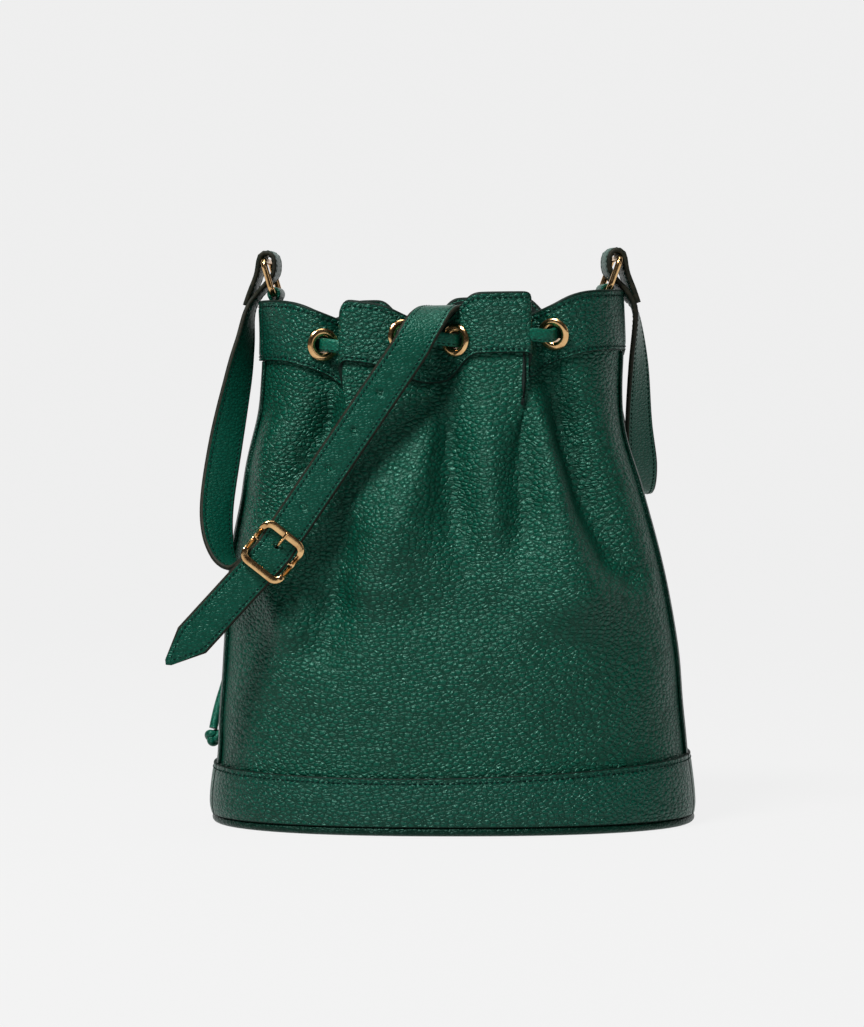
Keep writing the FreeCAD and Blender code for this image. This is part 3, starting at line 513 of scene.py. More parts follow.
def fold_height(x, z, folds):
    """Sum of the soft folds at a place on one face."""
    total = np.zeros_like(x)
    for line in folds:
        best = np.full_like(x, 1e9)
        value = np.zeros_like(x)
        for (x0, z0, h0, w0), (x1, z1, h1, w1) in zip(line, line[1:]):
            run = (x1 - x0) ** 2 + (z1 - z0) ** 2
            t = np.clip(((x - x0) * (x1 - x0) + (z - z0) * (z1 - z0)) / run, 0, 1)
            away = np.hypot(x - x0 - t * (x1 - x0), z - z0 - t * (z1 - z0))
            ease = t * t * (3 - 2 * t)
            here = (h0 + (h1 - h0) * ease) * np.exp(-(away / (w0 + (w1 - w0) * t)) ** 2)
            nearer = away < best
            value = np.where(nearer, here, value)
            best = np.where(nearer, away, best)
        total = total + value
    return total


# Front lobes whose sides lean over the gather beside them: (x, lean, half width).
LEANS = [(-50, -11, 7), (29, 11, 7)]


def wall(angle, height):
    """Outer face of the leather body, folds included."""
    x, y, nx, ny = plan_point(angle, height)
    front = y < 0
    depth = np.where(front, gather_depth(x, height, FRONT_GATHERS),
                     gather_depth(x, height, BACK_GATHERS))
    calm = (1 - eased(height, 240, 22)) * np.clip((height - 40) / 20, 0, 1)
    folds = np.where(front, fold_height(x, height, FRONT_FOLDS), fold_height(x, height, BACK_FOLDS))
    ripple = 0.5 * np.sin(x * 0.115 + 1.1 * np.sin(height * 0.041)) * np.sin(height * 0.067 + 0.9)
    depth = depth - (folds + ripple) * calm
    lean = sum(amount * np.exp(-((x - centre) / half) ** 2) for centre, amount, half in LEANS)
    lean = lean * eased(height, 190, 65) * front
    return np.stack([x - depth * nx + lean, y - depth * ny, height + 0 * x], -1)


def wall_normal(angle, height):
    """Outward normal of the leather body."""
    across = wall(angle + 0.01, height) - wall(angle - 0.01, height)
    up = wall(angle, height + 1.0) - wall(angle, height - 1.0)
    return unit(np.cross(across, up))


def offset_wall(angle, height, offset):
    """Points a given distance outside the leather body."""
    angle, height, offset = np.broadcast_arrays(angle, height, offset)
    return wall(angle, height) + wall_normal(angle, height) * offset[..., None]


def rim(angle):
    """Height of the mouth's edge."""
    x, y, _, _ = plan_point(angle, np.full_like(angle, RIM_HEIGHT))
    total = np.zeros_like(x)
    for is_front, dips in ((True, FRONT_DIPS), (False, BACK_DIPS)):
        for centre, drop, left, left_power, right, right_power in dips:
            away = np.abs(x - centre)
            fall = np.where(x < centre, (away / left) ** left_power, (away / right) ** right_power)
            total = total + np.where((y < 0) == is_front, drop * np.exp(-fall), 0)
    return RIM_HEIGHT + RIM_TILT * x - total


def base_seam(angle):
    """Height of the lower band's upper seam."""
    x = plan_point(angle, np.full_like(angle, BASE_BAND))[0] / 134
    return BASE_BAND + 2.9 * x + 4.5 * x * x


def top_seam(angle):
    """Height of the upper band's lower seam."""
    return rim(angle) - TOP_BAND


def face_span(front):
    """Start and end angles of the front or back leather."""
    if front:
        start, end = math.pi + SEAM_ANGLE, 2 * math.pi - SEAM_ANGLE
    else:
        start, end = -SEAM_ANGLE, math.pi + SEAM_ANGLE
    return start + SEAM_ROOM, end - SEAM_ROOM


# Metal eyelets: centre and outward direction.
EYELETS = [
    ((-73.52, -40.09, 269.51), (0.322, -0.946, -0.044)),
    ((-28.74, -53.88, 274.01), (0.33, -0.942, 0.06)),
    ((1.98, -52.03, 271.68), (-0.558, -0.829, 0.031)),
    ((56.15, -44.41, 275.77), (-0.391, -0.898, -0.203)),
    ((73.88, 29.95, 270.4), (0.127, 0.991, 0.035)),
    ((54.31, 46.69, 272.82), (0.656, 0.753, 0.05)),
    ((-3.98, 52.89, 278.1), (-0.466, 0.885, 0.003)),
    ((-37.83, 52.22, 279.24), (0.164, 0.986, 0.03)),
    ((-59.82, 48.58, 277.52), (-0.458, 0.888, 0.034)),
    ((-87.03, 35.54, 276.68), (-0.237, 0.971, -0.023))]
PIERCE_RADIUS, PIERCE_REACH = 6.6, 10
GROOVE_DEPTH, GROOVE_WIDTH = 0.45, 1.1


def in_eyelet(points):
    """True where a point lies in an eyelet's hole through the leather."""
    inside = np.zeros(len(points), bool)
    for centre, normal in EYELETS:
        away = points - np.array(centre)
        rise = away @ np.array(normal)
        radial = np.linalg.norm(away - np.outer(rise, normal), axis=1)
        inside |= (radial < PIERCE_RADIUS) & (np.abs(rise) < PIERCE_REACH)
    return inside


def layer(name, front, low, high, inner, outer, columns, rows, material, radius_low, radius_high,
          edge=None, pierce=False, grooves=(), sink=None, span=None):
    """Leather layer between two heights, with rounded edges and sewn grooves."""
    start, end = span or face_span(front)
    angle = np.linspace(start, end, columns + 1)
    bottom, top = low(angle), high(angle)
    steps = np.linspace(0, 1, rows + 1)
    quarter = np.linspace(0, math.pi / 2, 4)[1:]

    def face_height(t):
        return bottom + radius_low + (top - radius_high - bottom - radius_low) * t

    def top_height(q):
        return top - radius_high + radius_high * math.sin(q)

    def low_height(q):
        return bottom + radius_low - radius_low * math.sin(q)

    def outside(radius, q):
        return outer - radius + radius * math.cos(q)

    def inside(radius, q):
        return inner + radius - radius * math.cos(q)

    # Round the section: (height, offset, on the outer face, on a rounded edge).
    parts = [(face_height(t), outer, True, False) for t in steps]
    parts += [(top_height(q), outside(radius_high, q), False, True) for q in quarter]
    parts += [(top_height(q), inside(radius_high, q), False, True) for q in quarter[-2::-1]]
    parts += [(face_height(t), inner, False, False) for t in steps[::-1]]
    parts += [(low_height(q), inside(radius_low, q), False, True) for q in quarter]
    parts += [(low_height(q), outside(radius_low, q), False, True) for q in quarter[-2::-1]]
    rings = []
    for height, offset, is_outer, _ in parts:
        shift = np.full_like(angle, float(offset))
        if is_outer:
            for groove in grooves:
                shift = shift - GROOVE_DEPTH * np.exp(-((height - groove(angle)) / GROOVE_WIDTH) ** 2)
        if sink is not None:
            shift = shift - sink(angle, height)
        rings.append(offset_wall(angle, height, shift))
    rings = np.stack(rings, 1)               # column, profile, xyz
    points, faces = lofted(rings)
    around = len(parts)
    flags = [part[3] for part in parts]
    quads, ends = np.array(faces[:-2]), faces[-2:]
    column = [flags[j] or flags[(j + 1) % around] for j in range(around)]
    edge_quad = np.array(column * columns)
    if pierce:
        keep = ~in_eyelet(points[quads].mean(1))
        quads, edge_quad = quads[keep], edge_quad[keep]
    final = [tuple(quad) for quad in quads.tolist()] + list(ends)
    indices = edge_quad.astype(int).tolist() + [1, 1]
    return make_mesh(name, points, final, [material, edge or material], indices)


def row_on_wall(front, height, offset):
    """Line along the leather at a height, with its normals."""
    start, end = face_span(front)
    angle = np.linspace(start + 0.004, end - 0.004, 400)
    level = height(angle)
    return offset_wall(angle, level, np.full_like(angle, offset)), wall_normal(angle, level)


# Faces whose pieces are baked in place rather than hung on a body; the listed bodies and the start and end
# of the bend are not read.
BLENDS = {"front": ("bag", "front_mouth", (0, -0.016, 0), (0, -0.036, 0)),
          "back": ("bag", "back_mouth", (0, 0.002, 0), (0, 0.026, 0))}


def settle(piece, slot, body, *nodes):
    """Hide the CAD nodes a piece stands for, then bake a front or back piece in place or hang any other
    piece on the body it rides on; the slot is not used.
    """
    if nodes:
        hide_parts(*nodes)
    if body in BLENDS:
        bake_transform(piece)
    else:
        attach(piece, body)


def level(height):
    """The same height all the way round."""
    return lambda angle: np.full_like(angle, height)


def build_face(face):
    """Panel, bands, lining and stitching of the front or back."""
    front = face == "front"

    def rim_row(angle):
        return rim(angle) - RIM_SEWING

    def band_row(angle):
        return top_seam(angle) + BAND_SEWING

    def foot_row(angle):
        return base_seam(angle) - FOOT_SEWING

    def sink(angle, height):
        return 1.6 * eased(base_seam(angle) - 0.5 - height, 0, 4)

    panel = layer(face + "_body", front, lambda a: base_seam(a) - 7, lambda a: top_seam(a) + 3,
                  -PANEL_THICK, 0, 240, 150, BODY, 0.5, 0.5, sink=sink)
    settle(panel, "body_leather", face, *[face + "_panel_upper_%d" % (i + 1) for i in range(4)],
           *[face + "_panel_lower_%d" % (i + 1) for i in range(2)])

    band_face = LAYER_GAP + BAND_THICK
    top = layer(face + "_mouth_band", front, top_seam, rim, -PANEL_THICK - 0.1, band_face, 300, 26, BAND,
                0.6, 1.3, edge=BAND_EDGE, pierce=True, grooves=(rim_row, band_row))
    settle(top, "body_leather", face, face + "_top_band")

    base = layer(face + "_foot_band", front, level(5.2), base_seam, LAYER_GAP, band_face, 240, 22, BAND,
                 0.6, 0.7, edge=BAND_EDGE, grooves=(foot_row,))
    settle(base, "body_leather", "bag", face + "_base_band")

    lining = layer(face + "_inside", front, level(34.0), lambda a: rim(a) - 2.2, -3.0, -2.2, 160, 90,
                   LINING, 0.3, 0.3, pierce=True)
    settle(lining, "lining", face, face + "_lining")

    lower = layer(face + "_inside_low", front, level(6.4), level(44.0), -5.6, -4.9, 160, 14,
                  LINING, 0.3, 0.3)
    settle(lower, "lining", "bag")

    outer = LAYER_GAP + BAND_THICK - 0.32
    for suffix, row, body in (("_rim_stitches", rim_row, face), ("_band_stitches", band_row, face),
                              ("_foot_stitches", foot_row, "bag")):
        line, normal = row_on_wall(front, row, outer)
        piece = stitches(face + suffix, line, normal, 3.0, 2.1, 0.4, 0.12)
        settle(piece, "body_leather", body)


for face in ("front", "back"):
    build_face(face)


# ======== side seams, base
for side, angle in (("left", math.pi + SEAM_ANGLE), ("right", 2 * math.pi - SEAM_ANGLE)):
    welt = layer(side + "_seam_strip", True, lambda a: base_seam(a) + 0.4, lambda a: top_seam(a) - 0.4,
                 -0.5, 1.7, 8, 110, SEAM_SHADE_LEATHER, 0.4, 0.4, span=(angle - 0.015, angle + 0.015))
    settle(welt, "welt_leather", "bag", side + "_side_welt")


def plan_line(height, inset, count):
    """Closed oval line, moved inwards."""
    angle = np.linspace(0, 2 * math.pi, count, endpoint=False)
    x, y, nx, ny = plan_point(angle, np.full_like(angle, float(height)))
    return np.stack([x - inset * nx, y - inset * ny, np.full_like(x, float(height))], -1)


def oval_plate(name, levels, material):
    """Closed plate from (height, inset) levels, ending in the middle at both ends."""
    rings = []
    for height, inset in levels:
        if inset < 40:
            ring = plan_line(0, inset, 160)
        else:
            ring = plan_line(0, 0, 160) * (1 - inset / REACH_LEFT[0])
        ring[:, 2] = height
        rings.append(ring)
    points, faces = lofted(rings)
    return make_mesh(name, points, faces, [material])


base = oval_plate("base", [
    (0.0, 100), (0.0, 60), (0.0, 20), (0.0, 3.2), (0.5, 2.5), (1.9, 2.5), (2.4, 3.0), (5.0, 3.2),
    (5.2, 20), (5.2, 60), (5.2, 100)], BAND)
settle(base, "body_leather", "bag", "base_panel", "base_board")
floor_lining = oval_plate("inside_floor", [
    (5.9, 100), (5.9, 60), (5.9, 20), (6.0, 4.4), (6.5, 4.2), (7.0, 4.5), (7.0, 20), (7.1, 60),
    (7.1, 100)], LINING)
settle(floor_lining, "lining", "bag", "lining_floor")

welt_line = plan_line(0, -0.6, 260)
welt_line[:, 2] = 2.6
CIRCLE = np.array([(math.cos(2 * math.pi * k / 14), math.sin(2 * math.pi * k / 14)) for k in range(14)])
points, faces = lofted(tube(welt_line, (0, 0, 1), CIRCLE * 2.5, True), loop=True)
# The piping wears the dark welt leather, painted shade under the base.
welt = make_mesh("base_piping", points, faces, [SEAM_SHADE_LEATHER])
settle(welt, "welt_leather", "bag", "base_welt")


# ======== drawstring
def lace(name, route):
    """Folded flat leather lace along a route. Returns its line and the piece."""
    line = catmull(route, 1.6)
    section = rounded_section(1.5, 3.7, 1.3, 3)
    points, faces = lofted(tube(line, (0, 0, 1), section))
    return line, make_mesh(name, points, faces, [CORD])


FRONT_ROUTE = [
    (-91.9, -0.4, 272), (-90.5, -15, 272), (-77.0, -29.9, 270.0), (-71.3, -46.6, 269.2),
    (-59.8, -50.1, 267.7), (-50.0, -43.7, 266.3), (-31.9, -44.9, 273.4), (-26.5, -60.3, 274.4),
    (-1.9, -57.8, 271.9), (6.9, -44.7, 271.4), (30.3, -47.1, 272.5), (38.9, -55.9, 274.9),
    (53.5, -50.5, 274.4), (60.9, -33.5, 278.2), (77.9, -15, 276), (79.4, -0.4, 276)]
BACK_ROUTE = [
    (79.4, 0.4, 276), (77.9, 15, 276), (72.8, 21.2, 270.1), (75.0, 38.6, 270.7), (58.7, 51.8, 273.2),
    (47.9, 39.3, 272.3), (0.6, 44.2, 278.1), (-7.1, 58.9, 278.1), (-36.7, 58.9, 279.4),
    (-39.4, 42.6, 278.9), (-55.0, 39.3, 277.2), (-62.9, 54.6, 277.7)]
BACK_SHORT = [(-91.9, 0.4, 272), (-90.8, 12, 272), (-84.5, 25.3, 276.9), (-88.6, 42.2, 276.5)]

front_line, string_front = lace("string_front", FRONT_ROUTE)
settle(string_front, "cord_leather", "front", "drawstring_front")
back_line, string_back = lace("string_back", BACK_ROUTE)
settle(string_back, "cord_leather", "back", "drawstring_back")
_, string_short = lace("string_back_short", BACK_SHORT)
settle(string_short, "cord_leather", "back")

for face, line, facing in (("front", front_line, -1), ("back", back_line, 1)):
    across = unit(np.cross(headings(line), (0, 0, 1)))
    outward = np.sign(np.sum(across * np.array([0, facing, 0]), 1, keepdims=True))
    row = line + np.array([0, 0, -2.5]) + across * outward * 1.45
    piece = stitches("string_stitches_" + face, row, across * outward, 3.0, 2.0, 0.35)
    settle(piece, "cord_leather", face)


# ======== straps
STRAP_WIDTH, STRAP_THICK = 21.0, 3.0
BUCKLE_CENTRE = np.array([-99.4, -71.5, 155.6])
BUCKLE_ACROSS = np.array([0.785, 0, -0.62])
BUCKLE_ALONG = np.array([-0.62, 0, -0.785])
TAIL_ALONG = np.array([-0.676, 0.02, -0.737])
FRONT_TOP = np.array([-25.0, -72.5, 266])
# Rings: outward sign, foot of the ring, lean outwards and turn about the vertical in degrees.
RINGS = {"left": (-1, np.array([-100.6, 0, 298.6]), 16, -7), "right": (1, np.array([85.8, 0, 300.6]), 20, 8)}
# Runs of the two straps: centre and direction of the width.
SHORT_RUN = [
    ((-115.6, -1, 287), (0.2, 0.98, 0)), ((-117.8, -6, 271), (0.4, 0.9, 0)),
    ((-121.5, -14, 250), (0.65, 0.76, 0)), ((-127.8, -25, 215), (0.84, 0.54, 0)),
    ((-132, -37, 183), (0.84, 0.54, 0)), ((-131.5, -45, 164), (0.74, 0.66, 0)),
    ((-127.5, -52, 151), (0.5, 0.86, 0)), ((-120.5, -57, 145.5), (0.4, 0.9, -0.1)),
    ((-112.5, -60.5, 147), (0.62, 0.66, -0.4))]
SLING_RUN = [
    ((103.5, 4, 287), (0.1, 0.99, 0)), ((105.5, 12, 258), (0.5, 0.86, 0)),
    ((106.5, 24, 225), (0.7, 0.71, 0)), ((109, 39, 199), (0.82, 0.57, 0)),
    ((107, 57, 185), (0.9, 0.42, 0)), ((101, 75, 192), (0.85, 0.5, 0.15)),
    ((95, 81, 214), (0.84, 0.45, 0.3)), ((89, 78, 241), (0.84, 0.3, 0.4)),
    ((84, 69, 266), (0.84, 0.1, 0.4)), ((79, 58, 282.5), (0.84, -0.2, 0.3)),
    ((72, 45, 290), (0.82, -0.5, 0.1)), ((60, 30, 288.5), (0.8, -0.6, 0)),
    ((40, 6, 284.5), (0.8, -0.6, 0)), ((22, -14, 284.5), (0.8, -0.6, 0)),
    ((7, -31, 287), (0.8, -0.6, 0.03)), ((-2.5, -44, 289.5), (0.8, -0.57, 0.06)),
    ((-9.5, -56, 288.5), (0.83, -0.4, -0.1)), ((-15.5, -66, 282), (0.84, -0.2, -0.35)),
    ((-20.5, -71, 274), (0.835, -0.07, -0.5))]


def yawed(vector, degrees):
    """Vector turned about the vertical."""
    turn = math.radians(degrees)
    x, y, z = vector
    c, s = math.cos(turn), math.sin(turn)
    return np.array([x * c - y * s, x * s + y * c, z])


def loop_stations(side):
    """Strap's fold round the top of a ring."""
    sign, foot, lean, yaw = RINGS[side]
    lean = math.radians(lean)
    top = foot + yawed((sign * math.sin(lean), 0, math.cos(lean)), yaw) * 19.2
    across = yawed((0, 1, 0), yaw)
    outward = yawed((sign, 0, 0), yaw)
    up = np.array([0, 0, 1.0])
    centre = top - outward * 1.2
    points = [centre + outward * 12.2 - up * 25, centre + outward * 9.6 - up * 17.5,
              centre + outward * 5.9 - up * 8]
    for degrees in (0, 36, 72, 108, 144, 180):
        turn = math.radians(degrees)
        points.append(centre + outward * (4.5 * math.cos(turn)) + up * (4.8 * math.sin(turn)))
    points += [centre - outward * 3.9 - up * 7, centre + outward * 1.0 - up * 13.5,
               centre + outward * 7.4 - up * 21]
    return [(point, across) for point in points]


EDGE_TURNS = (0.5, 1.05, 1.5708, 2.09, 2.64)
STITCH_REACH = 7.7                           # stitch rows, from the middle of the strap
STITCH_ROWS = ((1, 1), (-1, 1), (1, -1), (-1, -1))       # (edge, face)


def strap_section(half_width, half_thick):
    """Cross section: crowned faces, a pressed line by each edge, rounded painted edges."""
    radius = half_thick * 0.85
    flat = half_width - radius
    inset = max(half_width - 2.8, 0)
    places = [(-flat, 0), (-inset - 0.9, 0.02), (-inset, -0.22), (-inset + 0.9, 0.02),
              (-inset * 0.5, 0.12), (0, 0.16)]
    places = places + [(-u, v) for u, v in places[-2::-1]]
    top = [(u, half_thick + v) for u, v in places]
    right = [(flat + radius * math.sin(a), half_thick * math.cos(a)) for a in EDGE_TURNS]
    bottom = [(-u, -half_thick - v * 0.8) for u, v in places]
    left = [(-flat - radius * math.sin(a), -half_thick * math.cos(a)) for a in EDGE_TURNS]
    flags = [False] * (len(top) - 1) + [True] * 6 + [False] * (len(bottom) - 1) + [True] * 6
    return np.array(top + right + bottom + left), flags


def strap(name, stations, thick, widths=None, step=2.0):
    """Strap mesh through stations of centre and width direction. Returns it with its frames."""
    rows = np.array([[*centre, *unit(across)] for centre, across in stations])
    rows = catmull(rows, step)
    line, across = rows[:, :3], rows[:, 3:]
    along = headings(line)
    across = unit(across - along * np.sum(across * along, 1, keepdims=True))
    normal = np.cross(across, along)
    travelled = travel(line)
    full = STRAP_WIDTH / 2
    section, flags = strap_section(full, thick / 2)
    rings = []
    for i in range(len(line)):
        half, shift = widths(travelled[i], travelled[-1]) if widths else (full, 0)
        sideways = np.outer(section[:, 0] * (half / full) + shift, across[i])
        rings.append(line[i] + sideways + np.outer(section[:, 1], normal[i]))
    points, faces = lofted(rings)
    indices = [int(flag) for flag in flags] * (len(line) - 1) + [1, 1]
    piece = make_mesh(name, points, faces, [STRAP, EDGE], indices)
    return piece, line, across, normal, travelled


def strap_stitches(name, line, across, normal, thick):
    """Stitch rows beside both edges on both faces."""
    pieces = []
    for row, (side, face) in enumerate(STITCH_ROWS):
        path = line + across * (side * STITCH_REACH) + normal * (face * (thick / 2 - 0.12))
        pieces.append(stitches("%s_%d" % (name, row + 1), path, normal * face, 2.8, 2.0, 0.36,
                               0.3 * side * face))
    return pieces


TAIL_LENGTH, SHOULDER = 19.5, 66.0           # the point, and where it starts beyond the buckle
TIP_HALF, TIP_SHIFT, TIP_START = 1.6, -1.5, 0.93


def tail_width(distance, total):
    """Half width and sideways shift towards the pointed end."""
    q = max(0.0, (distance - (total - TAIL_LENGTH)) / TAIL_LENGTH)
    past = max(0.0, (q - TIP_START) / (1 - TIP_START))
    rounding = math.sqrt(max(0.0, 1 - past ** 2))
    return (STRAP_WIDTH / 2 * (1 - q) + TIP_HALF * q) * max(rounding, 0.15), TIP_SHIFT * q


front = BUCKLE_CENTRE - FRONT_TOP
front_along = unit(np.array([front[0], 0, front[2]]))
front_across = np.array([-front_along[2], 0, front_along[0]])
tail_across = unit(np.array([-TAIL_ALONG[2], 0, TAIL_ALONG[0]]))
stations = loop_stations("right") + [(np.array(c, float), np.array(a)) for c, a in SLING_RUN]
stations += [(FRONT_TOP + front * part, front_across) for part in (0, 0.25, 0.5, 0.75, 0.94)]
stations += [(BUCKLE_CENTRE, BUCKLE_ACROSS)]
tail_stations = (12, 30, 48, SHOULDER, SHOULDER + 6.5, SHOULDER + 13, SHOULDER + TAIL_LENGTH)
stations += [(BUCKLE_CENTRE + TAIL_ALONG * d, tail_across) for d in tail_stations]
long_strap, line, across, normal, travelled = strap("long_strap", stations, STRAP_THICK, tail_width)
body_end = travelled < travelled[-1] - TAIL_LENGTH - 1
long_rows = strap_stitches("long_strap_stitches", line[body_end], across[body_end], normal[body_end],
                           STRAP_THICK)
tail = travelled > travelled[-1] - TAIL_LENGTH - 3
taper = np.array([tail_width(d, travelled[-1]) for d in travelled[tail]])
for row, (side, face) in enumerate(STITCH_ROWS):
    inset = np.maximum(taper[:, 0] - 3.0, 0.0) * side + taper[:, 1]
    last = taper[:, 0] > 3.2
    path = line[tail] + across[tail] * inset[:, None] + normal[tail] * (face * (STRAP_THICK / 2 - 0.1))
    long_rows.append(stitches("long_strap_stitches_%d" % (row + 5), path[last],
                              (normal[tail] * face)[last], 2.8, 2.0, 0.36))

HOLE_PITCH = 25.2
first_hole = BUCKLE_CENTRE - front_along * 4.6
HOLES = [first_hole - front_along * (HOLE_PITCH * i) for i in range(5)]


def pierced(piece, centres, radii):
    """The piece with round holes bored through along Y."""
    cutters = []
    for i, (centre, radius) in enumerate(zip(centres, radii)):
        turns = [2 * math.pi * k / 20 for k in range(20)]
        ring = np.array([(math.cos(turn) * radius, 0, math.sin(turn) * radius) for turn in turns])
        points, faces = lofted([centre + ring + np.array([0, y, 0]) for y in (6, -6)])
        # The cutters carry the painted hole shade onto the new hole walls.
        cutters.append(make_mesh("cutter_%d" % i, points, faces, [PAINTED_HOLE_SHADE], smooth=False))
    for cutter in cutters:
        hole = piece.modifiers.new("hole", "BOOLEAN")
        hole.object = cutter
        hole.solver = "EXACT"
        hole.material_mode = "TRANSFER"
    depsgraph = bpy.context.evaluated_depsgraph_get()
    mesh = bpy.data.meshes.new_from_object(piece.evaluated_get(depsgraph))
    piece.modifiers.clear()
    piece.data = mesh
    for cutter in cutters:
        bpy.data.objects.remove(cutter)


pierced(long_strap, HOLES, [2.3, 1.9, 1.9, 1.9, 1.9])
settle(long_strap, "strap_leather", "bag", "strap_long")
for piece in long_rows:
    settle(piece, "strap_leather", "bag")

CENTRE_BAR_Y, BAR_RADIUS = -66.1, 1.1
LOOP_REACH = 2.4                             # middle of the loop's leather, from the bar's axis
SHORT_THICK = 2.6
bar_centre = np.array([BUCKLE_CENTRE[0], CENTRE_BAR_Y, BUCKLE_CENTRE[2]])
short_stations = loop_stations("left") + [(np.array(c, float), np.array(a)) for c, a in SHORT_RUN]
short_stations += [(bar_centre + BUCKLE_ALONG * 7 + np.array([0, 2.0, 0]), np.array([0.78, 0.2, -0.6]))]
short_strap, line, across, normal, _ = strap("short_strap", short_stations, SHORT_THICK)
short_rows = strap_stitches("short_strap_stitches", line, across, normal, SHORT_THICK)
loop_points = [bar_centre + BUCKLE_ALONG * 8.5 + np.array([0, LOOP_REACH, 0])]
for degrees in range(0, 200, 20):
    a = math.radians(degrees)
    loop_points.append(bar_centre - BUCKLE_ALONG * (LOOP_REACH * math.sin(a))
                       + np.array([0, LOOP_REACH * math.cos(a), 0]))
bar_loop = strap("buckle_loop", [(point, BUCKLE_ACROSS) for point in loop_points], 1.9, step=0.8)[0]
settle(short_strap, "strap_leather", "bag", "strap_short")
for piece in [bar_loop] + short_rows:
    settle(piece, "strap_leather", "bag")


# ======== ring tabs
TAB_FOOT = 264                               # height of the tab's sewn end


def build_tab(side):
    """Leather tab folded round the foot of a ring."""
    _, foot, _, yaw = RINGS[side]
    outward = yawed((1, 0, 0), yaw)
    across = yawed((0, 1, 0), yaw)
    up = np.array([0, 0, 1.0])
    end = up * (foot[2] - TAB_FOOT)
    points = [foot + outward * 1.05 - end, foot + outward * 1.05 - up * 12,
              foot + outward * 1.3 - up * 4.5]
    for degrees in (-20, 15, 50, 90, 130, 165, 200):
        a = math.radians(degrees)
        points.append(foot + outward * (2.95 * math.cos(a)) + up * (2.95 * math.sin(a)))
    points += [foot - outward * 1.3 - up * 4.5, foot - outward * 1.05 - up * 12,
               foot - outward * 1.05 - end]
    rows = catmull(np.array([[*p, *across] for p in points]), 0.9)
    section = rounded_section(8.5, 0.92, 0.6, 2)
    line, wide = rows[:, :3], rows[:, 3:]
    thick = np.cross(wide, headings(line))
    rings = [line[i] + np.outer(section[:, 0], wide[i]) + np.outer(section[:, 1], thick[i])
             for i in range(len(line))]
    points, faces = lofted(rings)
    return make_mesh(side + "_tab", points, faces, [STRAP])


for side in RINGS:
    settle(build_tab(side), "strap_leather", "bag", "ring_tab_" + side)


# ======== buckle
def build_buckle():
    """Square buckle of flat bevelled bar, its rails dipping to the centre bar."""
    half_width, half_length, corner = 12.6, 12.0, 4.6
    outline = []
    for (sa, sb), first in (((1, 1), 0), ((-1, 1), 90), ((-1, -1), 180), ((1, -1), 270)):
        for k in range(7):
            a = math.radians(first + 90 * k / 6)
            outline.append((sa * (half_width - corner) + corner * math.cos(a),
                            sb * (half_length - corner) + corner * math.sin(a)))
        if sa * sb > 0:
            outline += [(sa * (half_width - corner - t), sb * half_length) for t in (5.0, 10.0)]
        else:
            outline += [(sa * half_width, sb * (half_length - corner - t))
                        for t in (2.5, 5.0, 7.4, 9.8, 12.3)]
    rows = catmull(np.array([(a, b, 0.0) for a, b in outline]), 0.9, True)
    end_y, low_y = -74.9, CENTRE_BAR_Y + 0.3
    rings = []
    flat = headings(rows, True)
    for i, (a, b, _) in enumerate(rows):
        side = max(0.0, (abs(a) - (half_width - 3.5)) / 3.5)
        dip = side * (math.cos(math.pi * min(1.0, abs(b) / (half_length - 3.2))) + 1) / 2
        y = end_y + (low_y - end_y) * dip
        centre = np.array([BUCKLE_CENTRE[0], 0, BUCKLE_CENTRE[2]]) + BUCKLE_ACROSS * a + BUCKLE_ALONG * b
        centre[1] = y
        out = BUCKLE_ACROSS * flat[i][1] - BUCKLE_ALONG * flat[i][0]
        out = unit(np.array([out[0], 0, out[2]]))
        bar = abs(b) / half_length
        wide = 1.55 + 0.55 * bar ** 4
        section = [(-1, 0.75), (-0.62, 1.0), (0.62, 1.0), (1, 0.7), (1.0, -0.7), (0.7, -1), (-0.7, -1),
                   (-1, -0.7)]
        rings.append([centre + out * (wide * u) + np.array([0, -1.25 * v, 0]) for u, v in section])
    points, faces = lofted(rings, loop=True)
    piece = make_mesh("buckle", points, faces, [GOLD])
    bevel = piece.modifiers.new("bevel", "BEVEL")
    bevel.width = 0.00025
    bevel.segments = 2
    bevel.limit_method = "ANGLE"
    bevel.angle_limit = math.radians(25)
    bar_line = np.array([bar_centre - BUCKLE_ACROSS * 12.8, bar_centre, bar_centre + BUCKLE_ACROSS * 12.8])
    bar_points, bar_faces = lofted(tube(catmull(bar_line, 2), (0, 1, 0), CIRCLE * BAR_RADIUS))
    centre_bar = make_mesh("buckle_centre_bar", bar_points, bar_faces, [GOLD])
    return piece, centre_bar


buckle, centre_bar = build_buckle()
settle(buckle, "light_gold", "bag", "buckle_frame")
settle(centre_bar, "light_gold", "bag")


# ======== free ends
def knot_mesh(name, top):
    """Overhand knot, a closed trefoil of cord."""
    centre = np.array(top, float) + np.array([0, 0, -5.1])
    line = []
    for k in range(96):
        t = 2 * math.pi * k / 96
        line.append([(math.sin(t) + 2 * math.sin(2 * t)) * 1.02, math.sin(3 * t) * -1.5,
                     (math.cos(t) - 2 * math.cos(2 * t)) * 1.02])
    line = np.array(line) + centre
    points, faces = lofted(tube(line, (0, 1, 0.01), CIRCLE * 2.35, True), loop=True)
    return make_mesh(name, points, faces, [CORD])


for name, route, length in (("a", ROUTE_A, 0.247), ("b", ROUTE_B, 0.212)):
    cord = cord_curve("string_end_" + name, route)
    knot = knot_mesh("string_knot_" + name, route[-1])
    settle(cord, "cord_leather", "drawstring_ends", "drawstring_end_" + name)
    settle(knot, "cord_leather", "drawstring_ends", "drawstring_knot_" + name)


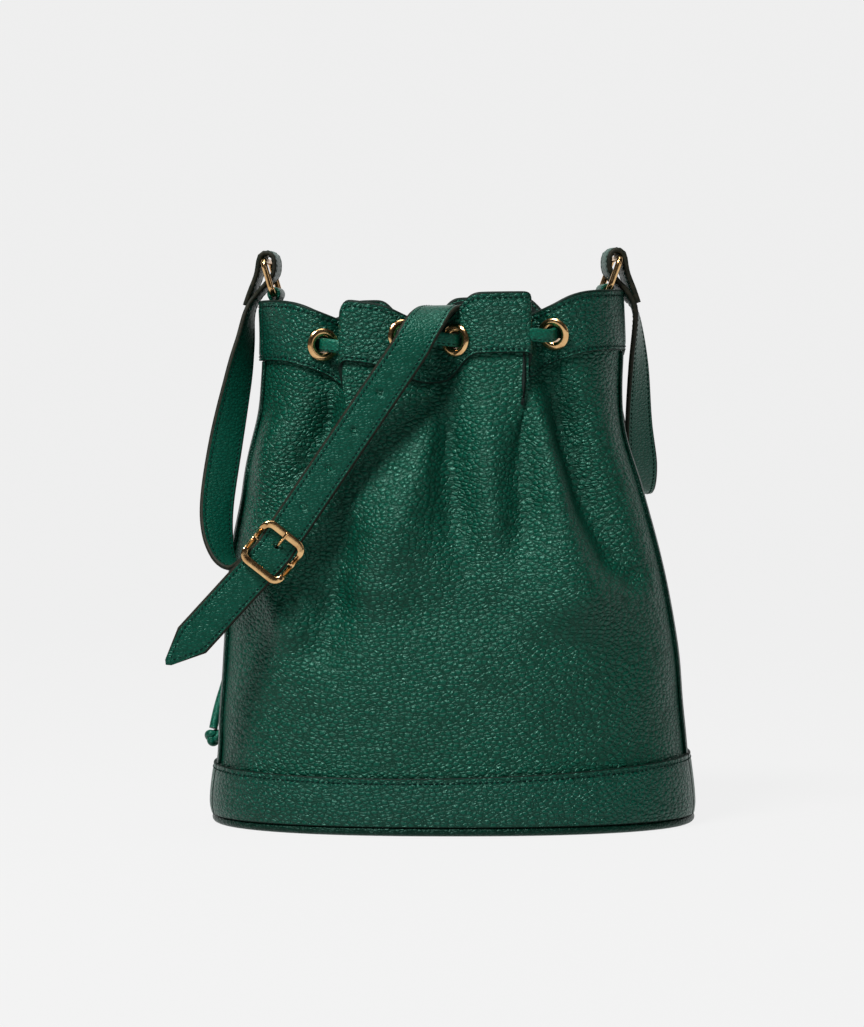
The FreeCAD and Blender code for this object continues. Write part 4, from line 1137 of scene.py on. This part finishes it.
# ======== metal
# The carried-over CAD pieces in metal.
NUMBERS = range(1, 11)
for node in (["eyelet_%02d" % number for number in NUMBERS]
             + ["eyelet_washer_%02d" % number for number in NUMBERS]
             + ["ring_left", "ring_right", "buckle_prong"]):
    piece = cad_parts[node]
    if not piece.material_slots:
        piece.data.materials.append(GOLD)
    for slot in piece.material_slots:
        slot.material = GOLD


# ======== floor and light
def stage_material():
    """Matt floor, dark in itself and lit evenly from within like a light table."""
    g = Graph("studio_floor")
    tone = g.ramp(g.noise(g.coordinates(), 3, 2.0), [(0.0, (0.028,) * 3), (1.0, (0.032,) * 3)])
    g.set(Roughness=0.95, Specular_IOR_Level=0.0, Emission_Color=(1, 1, 1, 1), Emission_Strength=0.845)
    return g.finish(tone)


def build_stage():
    """Floor that sweeps up into the backdrop."""
    flat_end, sweep, steps = 1.8, 1.2, 12
    profile = [(-3.0, 0.0), (flat_end, 0.0)]
    for k in range(1, steps + 1):
        a = math.pi / 2 * k / steps
        profile.append((flat_end + sweep * math.sin(a), sweep - sweep * math.cos(a)))
    profile.append((3.0, 4.0))
    rings = [[(x * 1000, y * 1000, z * 1000) for x in (-4.0, 4.0)] for y, z in profile]
    points, faces = lofted(rings, closed_round=False)
    piece = make_mesh("floor", points, faces, [stage_material()])


def area_light(name, place, target, size, power):
    """Soft area light aimed at a point."""
    light = bpy.data.lights.new(name, "AREA")
    light.shape = "RECTANGLE"
    light.size, light.size_y = size
    light.energy = power
    piece = bpy.data.objects.new(name, light)
    piece.location = place
    piece.rotation_euler = (Vector(target) - Vector(place)).to_track_quat("-Z", "Y").to_euler()
    scene.collection.objects.link(piece)


build_stage()
world = bpy.data.worlds.new("studio")
world.use_nodes = True
background = world.node_tree.nodes["Background"]
background.inputs["Color"].default_value = (1, 1, 1, 1)
background.inputs["Strength"].default_value = 0.03
scene.world = world
area_light("key", (-0.6, -0.85, 1.7), (0, 0, 0.16), (0.5, 0.5), 50)
area_light("fill", (1.5, -1.3, 0.9), (0, 0, 0.15), (0.6, 1.2), 2)
area_light("top", (0.15, 0.0, 1.9), (0, 0, 0.1), (0.9, 0.6), 7)
